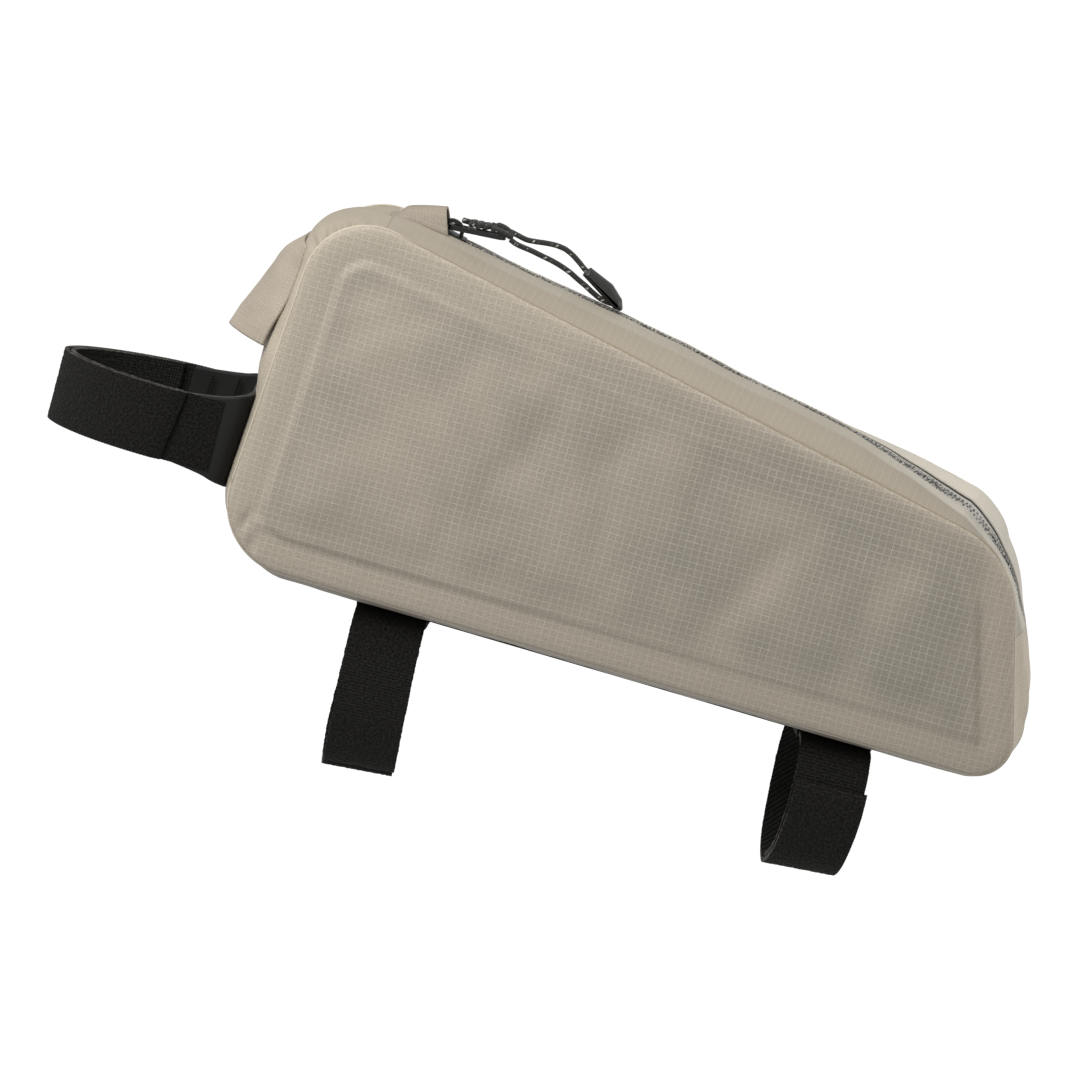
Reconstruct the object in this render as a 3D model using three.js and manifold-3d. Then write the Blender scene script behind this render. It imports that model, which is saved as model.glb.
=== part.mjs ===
// A top tube bag for a bicycle: two padded side panels, a gusset band that closes the front, base and
// rear, and a zip along the top. A rubber saddle with a hook-and-loop strap holds the head tube, and two
// hook-and-loop straps pass between the base and its strip to hold the top tube.
// Millimetres. +X runs from the handlebar end to the saddle end, +Y to the rider's right, +Z up off the
// top tube. The origin is the middle of the seat on the tube, at the underside of the base strip.

import * as THREE from "three";
import { mergeVertices } from "three/addons/utils/BufferGeometryUtils.js";
import Module from "manifold-3d";

// Driving dimensions
const SEAM_HALF = 24; // from the middle plane to each panel's seam
const WALL = 1.2; // laminate with its backing foam
const GAP = 0.3; // clearance between sewn pieces
const LAID = 0.6; // clearance under a piece laid on a bulging wall
const ZIP_HALF = 3; // half the width of the zip between its strips
const ZIP_SINK = 0.4; // how far the zip lies under its strips
const STRAP_WIDTH = 20.8;
const STRAP_THICK = 1.5;
const STRAP_PITCH = STRAP_THICK + 0.35; // from one layer of a strap to the next

// The side outline at the seams, as four corners rounded by their radius, in order round the bag.
const CORNERS = [
  { name: "front bottom", x: -117.2, z: 7.0, radius: 19 },
  { name: "front top", x: -108.9, z: 115.0, radius: 18.5 },
  { name: "rear top", x: 105.8, z: 68.7, radius: 27.5 },
  { name: "rear bottom", x: 122.8, z: 3.6, radius: 10.7 },
];

// Places on the outline are counted from 0 to 8: 0 to 1 up the front edge, then the front top corner, the
// top edge, the rear top corner, the rear edge, the rear bottom corner, the base edge and the front
// bottom corner.
const SIDE_STEPS = [5, 6, 10, 6, 4, 5, 8, 6]; // facets on each of those eight stretches
const ZIP_FROM = 1.9;
const ZIP_TO = 4.2;

// How far the band swells out between the seams, and how squarely it turns in to them.
const SWELL = [
  { at: 0.0, bulge: 2.6, square: 4 },
  { at: 0.35, bulge: 2.9, square: 4 },
  { at: 0.55, bulge: 4.9, square: 4 },
  { at: 0.65, bulge: 4.8, square: 4 },
  { at: 0.85, bulge: 3.4, square: 3.5 },
  { at: 1.0, bulge: 3.4, square: 3 },
  { at: 1.2, bulge: 4.8, square: 3 },
  { at: 1.5, bulge: 2.4, square: 3 },
  { at: 1.75, bulge: 0.9, square: 2.8 },
  { at: 2.0, bulge: 2.3, square: 2.4 },
  { at: 2.2, bulge: 3.9, square: 2 },
  { at: 2.5, bulge: 6.0, square: 2.5 },
  { at: 2.9, bulge: 7.8, square: 3.2 },
  { at: 3.0, bulge: 7.6, square: 3.1 },
  { at: 3.2, bulge: 5.7, square: 3 },
  { at: 3.5, bulge: 1.4, square: 3 },
  { at: 3.8, bulge: 0.2, square: 3 },
  { at: 4.0, bulge: 0.6, square: 3 },
  { at: 4.2, bulge: 2.4, square: 3 },
  { at: 4.6, bulge: 4.4, square: 3 },
  { at: 5.0, bulge: 2.8, square: 3.5 },
  { at: 5.4, bulge: 0.9, square: 4 },
  { at: 5.8, bulge: 2.2, square: 4 },
  { at: 6.1, bulge: 4.1, square: 2.7 },
  { at: 6.9, bulge: 4.1, square: 2.7 },
  { at: 7.15, bulge: 1.2, square: 4 },
  { at: 7.3, bulge: 0.2, square: 4 },
  { at: 7.6, bulge: 1.3, square: 4 },
  { at: 8.0, bulge: 2.6, square: 4 },
];

// How far the zip pulls the near half of the band in over the rear, and how far the far half falls away
// along the top.
const ZIP_PULL = [
  { at: 2.0, pull: 0, fall: 0 },
  { at: 2.4, pull: 0, fall: 1.5 },
  { at: 2.7, pull: 0, fall: 1.5 },
  { at: 2.9, pull: 2.5, fall: 0 },
  { at: 3.05, pull: 5.2, fall: 0 },
  { at: 3.2, pull: 5.2, fall: 0 },
  { at: 3.5, pull: 1.8, fall: 0 },
  { at: 4.0, pull: 0, fall: 0 },
];
// The pull and the fall each grow between two distances from the middle plane and die away at the seam.
const PULLED = { none: 13, full: -4, square: 3 };
const FALLEN = { none: 2, full: 13, square: 4 };

// Side panel: how far it stands out at each distance in from its seam. The step near 12 is the edge of
// its padding.
const PANEL = [
  { inset: 0, rise: 0 },
  { inset: 4, rise: 1.1 },
  { inset: 9, rise: 1.5 },
  { inset: 12, rise: 2.4 },
  { inset: 20, rise: 2.8 },
  { inset: 30, rise: 3.1 },
];
const PANEL_CENTRE = { x: -8, z: 50, rise: 3.3 };

// Cable port hood on the front and garage over the zip's front end: their height off the bag at places
// on the outline.
const HOOD = [
  { at: 0.6, height: 10.7 },
  { at: 0.8, height: 8.2 },
  { at: 1.0, height: 4.1 },
  { at: 1.14, height: 0 },
];
const HOOD_HALF = 18.5;
const HOOD_ROUND = 1.4; // how squarely a hood arches: 2 is a parabola
const GARAGE = [
  { at: 1.8333, height: 0 },
  { at: 1.9, height: 0.3 },
  { at: 2.0, height: 1.9 },
  { at: 2.0728, height: 5.1 },
];
const GARAGE_HALF = 6.6;
const GARAGE_ROUND = 3.2;

// Base strip under the bag. It runs parallel to the base, with its underside at the origin's height at
// x = level, and dips to make a tunnel for each strap.
const STRIP = { from: -84, to: 90, half: 7, thick: 0.7, slope: 0.01417, level: 4 };
const TUNNEL = { dip: 2.15, room: 0.6, ramp: 1.5 };

// Strap loops, as seen from the front: one turn of each, from the near side over the tunnel and down the
// far side.
const FRONT_STRAP_TOP = 0.6;
const FRONT_STRAP = [
  { x: -62.2, y: -12, z: FRONT_STRAP_TOP },
  { x: -62.2, y: 0, z: FRONT_STRAP_TOP },
  { x: -62.2, y: 12, z: FRONT_STRAP_TOP },
  { x: -62.1, y: 16.2, z: -1.6 },
  { x: -61.8, y: 16.6, z: -10 },
  { x: -61.1, y: 12.5, z: -28 },
  { x: -60.6, y: 6.4, z: -43 },
  { x: -60.5, y: 0, z: -47.2 },
  { x: -60.6, y: -6.4, z: -43 },
  { x: -61.1, y: -12.5, z: -28 },
  { x: -61.8, y: -16.6, z: -10 },
  { x: -62.1, y: -16.2, z: -1.6 },
];
const REAR_STRAP_TOP = -1.2;
const REAR_STRAP = [
  { x: 71.2, y: -12, z: REAR_STRAP_TOP },
  { x: 69.2, y: 0, z: REAR_STRAP_TOP },
  { x: 67.2, y: 12, z: REAR_STRAP_TOP },
  { x: 66.2, y: 16.2, z: -2.8 },
  { x: 65.8, y: 17.0, z: -9 },
  { x: 66.4, y: 15.5, z: -22.5 },
  { x: 67.8, y: 9.0, z: -35 },
  { x: 69.8, y: 0, z: -39.6 },
  { x: 71.6, y: -9.0, z: -35 },
  { x: 72.6, y: -15.5, z: -22.5 },
  { x: 72.3, y: -17.0, z: -9 },
  { x: 71.7, y: -16.2, z: -2.8 },
];
// Where each strap starts on its loop and how many turns it makes, the last part of one over the first.
const FRONT_COIL = { start: 0.45, turns: 1.13 };
const REAR_COIL = { start: 0.62, turns: 1.27 };
const TUNNEL_TURN = 1.09; // the turn at which a strap is in the tunnel

// Head tube loop from above, near half only: from the saddle's wing to the tip.
const HEAD_LOOP = [
  { x: -121, y: -21.2, z: 40.0 },
  { x: -133, y: -22.2, z: 40.0 },
  { x: -143, y: -21.2, z: 39.8 },
  { x: -152, y: -18.4, z: 39.5 },
  { x: -161, y: -13.4, z: 39.2 },
  { x: -168, y: -6.6, z: 39.0 },
];
const HEAD_TIP = { x: -170.6, z: 38.9 };
// Rubber saddle from above, near half only, with its height there.
const SADDLE = [
  { x: -138.5, y: -21.9, height: 20 },
  { x: -133, y: -22.2, height: 21 },
  { x: -124, y: -21.5, height: 24 },
  { x: -120.2, y: -20.4, height: 27 },
  { x: -118.8, y: -17.2, height: 29 },
  { x: -119.2, y: -9, height: 29 },
];
const SADDLE_MIDDLE = { x: -119.4, height: 29 };
const SADDLE_THICK = 1.6;
const FRONT_LEAN = 0.079; // how far the front edge leans back for each millimetre of height

// Zip slider and pull, in the plane of the zip at SLIDER_X.
const SLIDER_X = -74.5;
const SLIDER = { from: -5, to: 4, half: 3.3, floor: 0.2, deck: 1.2, crown: 5.0, bridgeHalf: 0.8, bar: 1.1 };
const TAB = { x: -75.6, z: 113.1, length: 16.8, half: 2.5, thick: 1.4, tilt: 3.6 };
const TAB_SLOTS = [
  { from: 1.3, to: 5.5, half: 1.3 },
  { from: 8.0, to: 15.2, half: 1.2 },
];

// Pull cord: from the knot round the end of the tab, down to the cord end, and back above to the tab.
const CORD_RADIUS = 0.8;
const CORD_LOWER = [
  { x: -60.8, y: 0, z: 116.3 },
  { x: -59.0, y: 0, z: 116.3 },
  { x: -57.7, y: 0, z: 115.6 },
  { x: -57.2, y: -0.3, z: 114.4 },
  { x: -56.2, y: -0.6, z: 113.4 },
  { x: -54.4, y: -0.7, z: 113.0 },
  { x: -51.1, y: -0.5, z: 112.6 },
  { x: -47.5, y: -0.4, z: 111.9 },
  { x: -41.5, y: -0.2, z: 110.5 },
  { x: -35.8, y: -0.4, z: 108.1 },
  { x: -33.3, y: -0.7, z: 106.8 },
  { x: -29.2, y: -0.9, z: 104.8 },
];
const CORD_UPPER = [
  { x: -34.5, y: 0.2, z: 111.4 },
  { x: -36.8, y: 0.4, z: 112.9 },
  { x: -39.2, y: 0.6, z: 114.4 },
  { x: -41.7, y: 0.9, z: 115.4 },
  { x: -44.5, y: 1.2, z: 115.7 },
  { x: -50.4, y: 1.8, z: 115.1 },
  { x: -53.1, y: 2.0, z: 114.9 },
  { x: -55.6, y: 2.0, z: 115.4 },
  { x: -58.0, y: 2.0, z: 116.1 },
];
const KNOT = { x: -66.9, z: 116.6, length: 10.6, width: 5, height: 3 };
// Cord end from the side: a tapered body with a foot that rests on the zip.
const CORD_END = [
  { x: -34.8, z: 109.9 },
  { x: -33.2, z: 112.2 },
  { x: -25.8, z: 109.1 },
  { x: -22.1, z: 105.6 },
  { x: -21.2, z: 102.8 },
  { x: -23.8, z: 102.9 },
  { x: -25.6, z: 104.0 },
];
const CORD_END_HALF = 2.6;

const FABRIC = { color: 0xb3a996, roughness: 0.62, metalness: 0 };
const ZIP_GREY = { color: 0xa9a69d, roughness: 0.55, metalness: 0 };
const WEBBING = { color: 0x1f1d1a, roughness: 0.95, metalness: 0 };
const RUBBER = { color: 0x262421, roughness: 0.6, metalness: 0 };
const CORD_BLACK = { color: 0x24221f, roughness: 0.85, metalness: 0 };
const SLIDER_METAL = { color: 0x1b1a19, roughness: 0.4, metalness: 0.6 };

const wasm = await Module();
wasm.setup();
const bag = new THREE.Group();

// Adds a piece of the bag as a named mesh.
function add(name, geometry, look, parent = bag) {
  const mesh = new THREE.Mesh(geometry, new THREE.MeshStandardMaterial(look));
  mesh.name = name;
  parent.add(mesh);
  return mesh;
}

const vec = ({ x = 0, y = 0, z = 0 }) => new THREE.Vector3(x, y, z);
const mirrored = ({ y = 0, ...rest }) => ({ ...rest, y: -y });

// The value of one column of a table at a place, smoothly between its rows.
function column(rows, place, name) {
  const next = rows.findIndex((row) => row.at >= place);
  if (next <= 0) return rows.at(next)[name];
  const a = rows[next - 1];
  const b = rows[next];
  const t = THREE.MathUtils.smoothstep(place, a.at, b.at);
  return THREE.MathUtils.lerp(a[name], b[name], t);
}

// Round each corner: its tangent points and the centre and angles of its arc.
function roundCorner(corner, before, after) {
  const here = new THREE.Vector2(corner.x, corner.z);
  const back = new THREE.Vector2(before.x, before.z).sub(here).normalize();
  const on = new THREE.Vector2(after.x, after.z).sub(here).normalize();
  const half = Math.acos(back.dot(on)) / 2;
  const reach = corner.radius / Math.tan(half);
  const centre = back.clone().add(on).normalize();
  centre.multiplyScalar(corner.radius / Math.sin(half)).add(here);
  const start = back.multiplyScalar(reach).add(here);
  const end = on.multiplyScalar(reach).add(here);
  const first = start.clone().sub(centre).angle();
  return { start, end, centre, first, sweep: Math.PI - 2 * half, radius: corner.radius };
}

const ROUNDED = CORNERS.map((corner, i) => roundCorner(corner, CORNERS.at(i - 1), CORNERS[(i + 1) % 4]));

// The point and outward direction of the outline at a place, as x and z.
function edge(place) {
  const stretch = Math.floor(place) % 8;
  const t = place - Math.floor(place);
  const corner = ROUNDED[Math.ceil(stretch / 2) % 4];
  if (stretch % 2) {
    const angle = corner.first - corner.sweep * t;
    const out = new THREE.Vector2(Math.cos(angle), Math.sin(angle));
    return { point: out.clone().multiplyScalar(corner.radius).add(corner.centre), out };
  }
  const from = ROUNDED[stretch / 2].end;
  const to = ROUNDED[(stretch / 2 + 1) % 4].start;
  const along = to.clone().sub(from).normalize();
  return { point: from.clone().lerp(to, t), out: new THREE.Vector2(-along.y, along.x) };
}

// A point on the band's outer face, y across from the middle plane, lifted off it along its outward
// direction.
function onBand(place, y, lift = 0) {
  const { point, out } = edge(place);
  const aside = Math.abs(y / SEAM_HALF);
  const bulge = column(SWELL, place % 8, "bulge") * (1 - aside ** column(SWELL, place % 8, "square"));
  const pulled = 1 - THREE.MathUtils.smoothstep(y, PULLED.full, PULLED.none);
  const fallen = THREE.MathUtils.smoothstep(y, FALLEN.none, FALLEN.full);
  const pull = column(ZIP_PULL, place % 8, "pull") * pulled * (1 - aside ** PULLED.square);
  const fall = column(ZIP_PULL, place % 8, "fall") * fallen * (1 - aside ** FALLEN.square);
  const swell = bulge - pull - fall + lift;
  return new THREE.Vector3(point.x + out.x * swell, y, point.y + out.y * swell);
}

// Places along the outline from one to another, with a facet at each step of SIDE_STEPS.
function places(from, to) {
  const list = [from];
  for (let stretch = Math.floor(from); stretch < to; stretch++) {
    const steps = SIDE_STEPS[stretch % 8];
    for (let i = 0; i < steps; i++) {
      const place = stretch + i / steps;
      if (place > from + 0.01 && place < to - 0.01) list.push(place);
    }
  }
  return [...list, to];
}

// Numbers from one value to another, closer together near the seams.
function across(from, to, count) {
  const ease = (t) => Math.sin((t * Math.PI) / 2);
  const [a, b] = [from, to].map((y) => Math.asin(y / SEAM_HALF) / (Math.PI / 2));
  return Array.from({ length: count }, (_, i) => SEAM_HALF * ease(a + ((b - a) * i) / (count - 1)));
}

// A closed wall between an outer and an inner grid of points, rows by columns. A looped wall joins its
// last row to its first and may end its columns in one shared point.
function wall(outer, inner, looped = false) {
  const rows = outer.length;
  const columns = outer[0].length;
  const points = [...outer.flat(), ...inner.flat()];
  const index = [];
  const at = (skin, i, j) => skin * rows * columns + (i % rows) * columns + j;
  const face = (...corners) => {
    const repeats = (c, i) => corners.some((d, k) => k < i && points[c].equals(points[d]));
    const distinct = corners.filter((c, i) => !repeats(c, i));
    for (let k = 2; k < distinct.length; k++) index.push(distinct[0], distinct[k - 1], distinct[k]);
  };
  for (let i = 0; i < rows - (looped ? 0 : 1); i++) {
    for (let j = 0; j < columns - 1; j++) {
      face(at(0, i, j), at(0, i, j + 1), at(0, i + 1, j + 1), at(0, i + 1, j));
      face(at(1, i, j), at(1, i + 1, j), at(1, i + 1, j + 1), at(1, i, j + 1));
    }
    face(at(0, i, 0), at(0, i + 1, 0), at(1, i + 1, 0), at(1, i, 0));
    if (!looped) {
      const j = columns - 1;
      face(at(0, i, j), at(1, i, j), at(1, i + 1, j), at(0, i + 1, j));
    }
  }
  for (let j = 0; j < columns - 1 && !looped; j++) {
    const i = rows - 1;
    face(at(0, 0, j), at(1, 0, j), at(1, 0, j + 1), at(0, 0, j + 1));
    face(at(0, i, j), at(0, i, j + 1), at(1, i, j + 1), at(1, i, j));
  }
  const geometry = new THREE.BufferGeometry().setFromPoints(points);
  return facingOut(geometry.setIndex(index));
}

// The same closed geometry with its faces pointing out: its signed volume tells which way they point.
function facingOut(geometry) {
  const point = geometry.getAttribute("position");
  const index = geometry.index.array;
  const corner = (k) => new THREE.Vector3().fromBufferAttribute(point, index[k]);
  let volume = 0;
  for (let k = 0; k < index.length; k += 3) volume += corner(k).dot(corner(k + 1).cross(corner(k + 2)));
  if (volume < 0) geometry.setIndex([...index].reverse());
  return geometry;
}

// A stretch of the band between the seams, its outer face sunk by an amount.
function band(from, to, ys, sink = 0) {
  const rows = places(from, to);
  const skin = (lift) => rows.map((place) => ys.map((y) => onBand(place, y, lift)));
  return wall(skin(-sink), skin(-sink - WALL));
}

// A side panel: rings in from the seam to one point in its middle, on the side that the sign gives.
function panel(sign) {
  const rim = places(0, 8).slice(0, -1);
  const middle = new THREE.Vector2(PANEL_CENTRE.x, PANEL_CENTRE.z);
  const skin = (thick) =>
    rim.map((place) => {
      const { point } = edge(place);
      const inward = middle.clone().sub(point).normalize();
      const y = (rise) => sign * (SEAM_HALF + GAP + thick + rise);
      const rings = PANEL.map(({ inset, rise }) => {
        const at = inward.clone().multiplyScalar(inset).add(point);
        return new THREE.Vector3(at.x, y(rise), at.y);
      });
      return [...rings, new THREE.Vector3(middle.x, y(PANEL_CENTRE.rise), middle.y)];
    });
  return wall(skin(WALL), skin(0), true);
}

// A hood that arches off the band between two feet, with its height from a table of places.
function hood(rows, half, roundness) {
  const ys = Array.from({ length: 13 }, (_, i) => half * (i / 6 - 1));
  const stations = places(rows[0].at, rows.at(-1).at);
  const skin = (thick) =>
    stations.map((place) =>
      ys.map((y) => {
        const arch = 1 - Math.abs(y / half) ** roundness;
        return onBand(place, y, LAID + thick + column(rows, place, "height") * arch);
      }),
    );
  return wall(skin(WALL), skin(0));
}

// A flat ribbon along points, its width along one direction, bent about that direction only.
function ribbon(points, widths, thick, along) {
  const edges = (offset) =>
    points.map((point, i) => {
      const ahead = points[Math.min(i + 1, points.length - 1)];
      const behind = points[Math.max(i - 1, 0)];
      const face = ahead.clone().sub(behind).cross(along).normalize().multiplyScalar(offset);
      const side = along.clone().multiplyScalar(widths[i] / 2);
      return [point.clone().add(face).sub(side), point.clone().add(face).add(side)];
    });
  return wall(edges(thick / 2), edges(-thick / 2));
}

// A strap that runs round a loop of points and over itself, each turn one layer further out than the last.
function coiledStrap(rows, { start, turns }) {
  const loop = new THREE.CatmullRomCurve3(rows.map(vec), true, "centripetal");
  const count = 52;
  const side = new THREE.Vector3(1, 0, 0);
  const points = Array.from({ length: count + 1 }, (_, i) => {
    const turn = start + (turns * i) / count;
    const out = side.clone().cross(loop.getTangentAt(turn % 1)).normalize();
    return loop.getPointAt(turn % 1).addScaledVector(out, STRAP_PITCH * (turn - TUNNEL_TURN));
  });
  return ribbon(points, points.map(() => STRAP_WIDTH), STRAP_THICK, side);
}

// Part of the head loop between two fractions of its length, on a layer that drops by one from near to far.
const headLoop = new THREE.CatmullRomCurve3(
  [...HEAD_LOOP, HEAD_TIP, ...HEAD_LOOP.map(mirrored).reverse()].map(vec),
  false,
  "centripetal",
);
function headStrap(from, to, layer) {
  const count = 30;
  const up = new THREE.Vector3(0, 0, 1);
  const points = Array.from({ length: count + 1 }, (_, i) => {
    const t = THREE.MathUtils.lerp(from, to, i / count);
    const out = headLoop.getTangentAt(t).cross(up).normalize();
    const level = layer - THREE.MathUtils.clamp((t - 0.15) / 0.6, 0, 1);
    return headLoop.getPointAt(t).addScaledVector(out, -level * STRAP_PITCH);
  });
  return ribbon(points, points.map(() => STRAP_WIDTH), STRAP_THICK, up);
}

// The rubber saddle: a ribbon that lies on the front and turns out into a wing on each side.
function saddle() {
  const rows = [...SADDLE, SADDLE_MIDDLE, ...SADDLE.map(mirrored).reverse()];
  const line = new THREE.CatmullRomCurve3(
    rows.map(({ x, y = 0, height }) => new THREE.Vector3(x, y, height)),
    false,
    "centripetal",
  );
  const samples = line.getPoints(32);
  const points = samples.map(({ x, y }) => new THREE.Vector3(x, y, HEAD_LOOP[0].z));
  const lean = new THREE.Vector3(FRONT_LEAN, 0, 1).normalize();
  return ribbon(points, samples.map(({ z }) => z), SADDLE_THICK, lean);
}

// The strip's long section, dipping under each strap, drawn out across its width.
function baseStrip() {
  const dips = [FRONT_STRAP, REAR_STRAP].flatMap((rows) => {
    const [near, { x }, far] = rows;
    const lean = Math.abs((near.x - far.x) / (near.y - far.y)) * STRIP.half;
    const reach = STRAP_WIDTH / 2 + lean + TUNNEL.room;
    return [
      { x: x - reach - TUNNEL.ramp, drop: 0 },
      { x: x - reach, drop: TUNNEL.dip },
      { x: x + reach, drop: TUNNEL.dip },
      { x: x + reach + TUNNEL.ramp, drop: 0 },
    ];
  });
  const run = [{ x: STRIP.from, drop: 0 }, ...dips, { x: STRIP.to, drop: 0 }];
  const level = (x) => STRIP.slope * (STRIP.level - x);
  const lower = run.map(({ x, drop }) => new THREE.Vector2(x, level(x) - drop));
  const upper = run.map(({ x, drop }) => new THREE.Vector2(x, level(x) + STRIP.thick - drop)).reverse();
  return drawnOut(new THREE.Shape([...lower, ...upper]), STRIP.half);
}

// A shape of x and z drawn out to both sides of the middle plane.
function drawnOut(shape, half, bevel = 0) {
  const settings = { depth: 2 * (half - bevel), bevelEnabled: bevel > 0, bevelSegments: 1 };
  settings.bevelSize = bevel;
  settings.bevelThickness = bevel;
  settings.bevelOffset = -bevel;
  const geometry = new THREE.ExtrudeGeometry(shape, settings);
  return geometry.translate(0, 0, bevel - half).rotateX(Math.PI / 2);
}

const rectangle = (left, right, low, high) =>
  [[left, low], [right, low], [right, high], [left, high]].map(([x, z]) => new THREE.Vector2(x, z));

function solid(geometry) {
  const bare = geometry.clone();
  bare.deleteAttribute("normal");
  bare.deleteAttribute("uv");
  const { attributes, index } = mergeVertices(bare, 1e-4);
  const vertProperties = new Float32Array(attributes.position.array);
  const triVerts = new Uint32Array(index.array);
  return new wasm.Manifold(new wasm.Mesh({ numProp: 3, vertProperties, triVerts }));
}

function joined(first, second) {
  const mesh = solid(first).add(solid(second)).getMesh();
  const geometry = new THREE.BufferGeometry();
  geometry.setAttribute("position", new THREE.BufferAttribute(mesh.vertProperties, 3));
  return geometry.setIndex(new THREE.BufferAttribute(mesh.triVerts, 1));
}

// The slider's deck with the arched bridge that carries the pull.
function slider() {
  const { from, to, half, floor, deck, crown, bridgeHalf, bar } = SLIDER;
  const arch = new THREE.Shape();
  arch.moveTo(from + 0.8, deck - 0.2);
  arch.quadraticCurveTo(from + 1, crown, -1, crown);
  arch.quadraticCurveTo(to - 1.6, crown, to - 1.2, deck - 0.2);
  arch.lineTo(to - 1.2 - bar, deck - 0.2);
  arch.quadraticCurveTo(to - 2.7, crown - bar, -1, crown - bar);
  arch.quadraticCurveTo(from + 2.2, crown - bar, from + 0.8 + bar, deck - 0.2);
  const plate = new THREE.Shape(rectangle(from, to, floor, deck));
  return joined(drawnOut(plate, half, 0.3), drawnOut(arch, bridgeHalf));
}

// The flat pull tab with a slot for the bridge and a long slot for the cord.
function pullTab() {
  const { length, half, thick } = TAB;
  const shape = new THREE.Shape();
  shape.moveTo(0, -half + 1);
  shape.quadraticCurveTo(0, -half, 1, -half);
  shape.absarc(length - half, 0, half, -Math.PI / 2, Math.PI / 2);
  shape.lineTo(1, half);
  shape.quadraticCurveTo(0, half, 0, half - 1);
  for (const slot of TAB_SLOTS) {
    shape.holes.push(new THREE.Path(rectangle(slot.from, slot.to, -slot.half, slot.half)));
  }
  const settings = { depth: thick, bevelEnabled: false, curveSegments: 6 };
  return new THREE.ExtrudeGeometry(shape, settings).translate(0, 0, -thick / 2);
}

// A round cord along points.
function cord(rows) {
  const route = new THREE.CatmullRomCurve3(rows.map(vec), false, "centripetal");
  const section = new THREE.Shape();
  for (let k = 0; k < 8; k++) {
    const angle = (k * Math.PI) / 4;
    const point = [CORD_RADIUS * Math.cos(angle), CORD_RADIUS * Math.sin(angle)];
    if (k === 0) section.moveTo(...point);
    else section.lineTo(...point);
  }
  const steps = Math.round(route.getLength() / (CORD_RADIUS * 2));
  return new THREE.ExtrudeGeometry(section, { steps, extrudePath: route });
}

// Side panels, band and zip
add("side_panel_left", panel(-1), FABRIC);
add("side_panel_right", panel(1), FABRIC);
add("gusset", band(ZIP_TO + 0.008, ZIP_FROM + 8 - 0.016, across(-SEAM_HALF, SEAM_HALF, 11)), FABRIC);
const zipEdge = ZIP_HALF + GAP;
add("zip_strip_left", band(ZIP_FROM, ZIP_TO, across(-SEAM_HALF, -zipEdge, 5)), FABRIC);
add("zip_strip_right", band(ZIP_FROM, ZIP_TO, across(zipEdge, SEAM_HALF, 5)), FABRIC);
add("zip_tape", band(ZIP_FROM, ZIP_TO, across(-ZIP_HALF, ZIP_HALF, 3), ZIP_SINK), ZIP_GREY);
add("zip_garage", hood(GARAGE, GARAGE_HALF, GARAGE_ROUND), FABRIC);
add("port_hood", hood(HOOD, HOOD_HALF, HOOD_ROUND), FABRIC);

// Straps and what holds them
add("base_strip", baseStrip(), RUBBER);
add("head_strap_saddle", saddle(), RUBBER);
add("head_strap_near", headStrap(0.02, 0.83, 1), WEBBING);
add("head_strap_far", headStrap(0.112, 0.98, 2), WEBBING);
add("front_base_strap", coiledStrap(FRONT_STRAP, FRONT_COIL), WEBBING);
add("rear_base_strap", coiledStrap(REAR_STRAP, REAR_COIL), WEBBING);

// Slider and pull
const topPlace = 2 + (SLIDER_X - edge(2).point.x) / (edge(2.999).point.x - edge(2).point.x);
const topSlope = Math.atan2(edge(2.5).out.x, edge(2.5).out.y);
const onZip = new THREE.Group();
onZip.position.copy(onBand(topPlace, 0));
onZip.rotation.y = topSlope;
bag.add(onZip);
add("zip_slider", slider(), SLIDER_METAL, onZip);
const tab = add("pull_tab", pullTab(), SLIDER_METAL);
tab.position.set(TAB.x, 0, TAB.z);
tab.rotation.y = -THREE.MathUtils.degToRad(TAB.tilt);
add("pull_cord_lower", cord(CORD_LOWER), CORD_BLACK);
add("pull_cord_upper", cord(CORD_UPPER), CORD_BLACK);
const knot = add("cord_knot", new THREE.SphereGeometry(0.5, 12, 8), CORD_BLACK);
knot.scale.set(KNOT.length, KNOT.width, KNOT.height);
knot.position.set(KNOT.x, 0, KNOT.z);
const side = new THREE.Shape(CORD_END.map(({ x, z }) => new THREE.Vector2(x, z)));
add("cord_end", drawnOut(side, CORD_END_HALF, 0.5), SLIDER_METAL);

export default bag;
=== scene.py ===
# %% [markdown]
# # A top tube bag
# The imported CAD part is the fixed frame of this scene: every piece made here lies where its CAD solid
# lies, in metres, and rides on the one body of the part. Lengths below are written in millimetres and
# scaled once, when a mesh is made. The visual model may not outgrow it.

# %% Load the frame
import math
from collections import namedtuple

import bmesh
import bpy
from mathutils import Matrix, Vector, kdtree, noise


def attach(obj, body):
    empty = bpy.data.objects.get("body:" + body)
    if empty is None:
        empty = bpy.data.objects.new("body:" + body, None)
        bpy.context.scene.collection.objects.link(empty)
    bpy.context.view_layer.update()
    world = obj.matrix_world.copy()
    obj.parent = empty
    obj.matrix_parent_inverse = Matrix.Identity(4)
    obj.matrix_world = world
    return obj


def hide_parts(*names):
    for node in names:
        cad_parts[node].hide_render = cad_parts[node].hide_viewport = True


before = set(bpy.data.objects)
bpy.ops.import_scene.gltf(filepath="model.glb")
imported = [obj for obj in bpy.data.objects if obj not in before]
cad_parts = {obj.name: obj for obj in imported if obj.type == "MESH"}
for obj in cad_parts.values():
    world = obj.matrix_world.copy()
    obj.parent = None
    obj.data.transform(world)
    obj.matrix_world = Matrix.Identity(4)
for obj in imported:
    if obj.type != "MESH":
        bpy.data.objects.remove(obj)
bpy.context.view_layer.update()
MM = 0.001
scene = bpy.context.scene

# %% [markdown]
# ## Camera
# The bag was photographed from far away with a long lens, a little from above and with the camera
# rolled, so that its base runs down to the right. A look-at constraint can't hold a roll, so the
# camera's three directions are worked out by hand and become the columns of its matrix.

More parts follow.
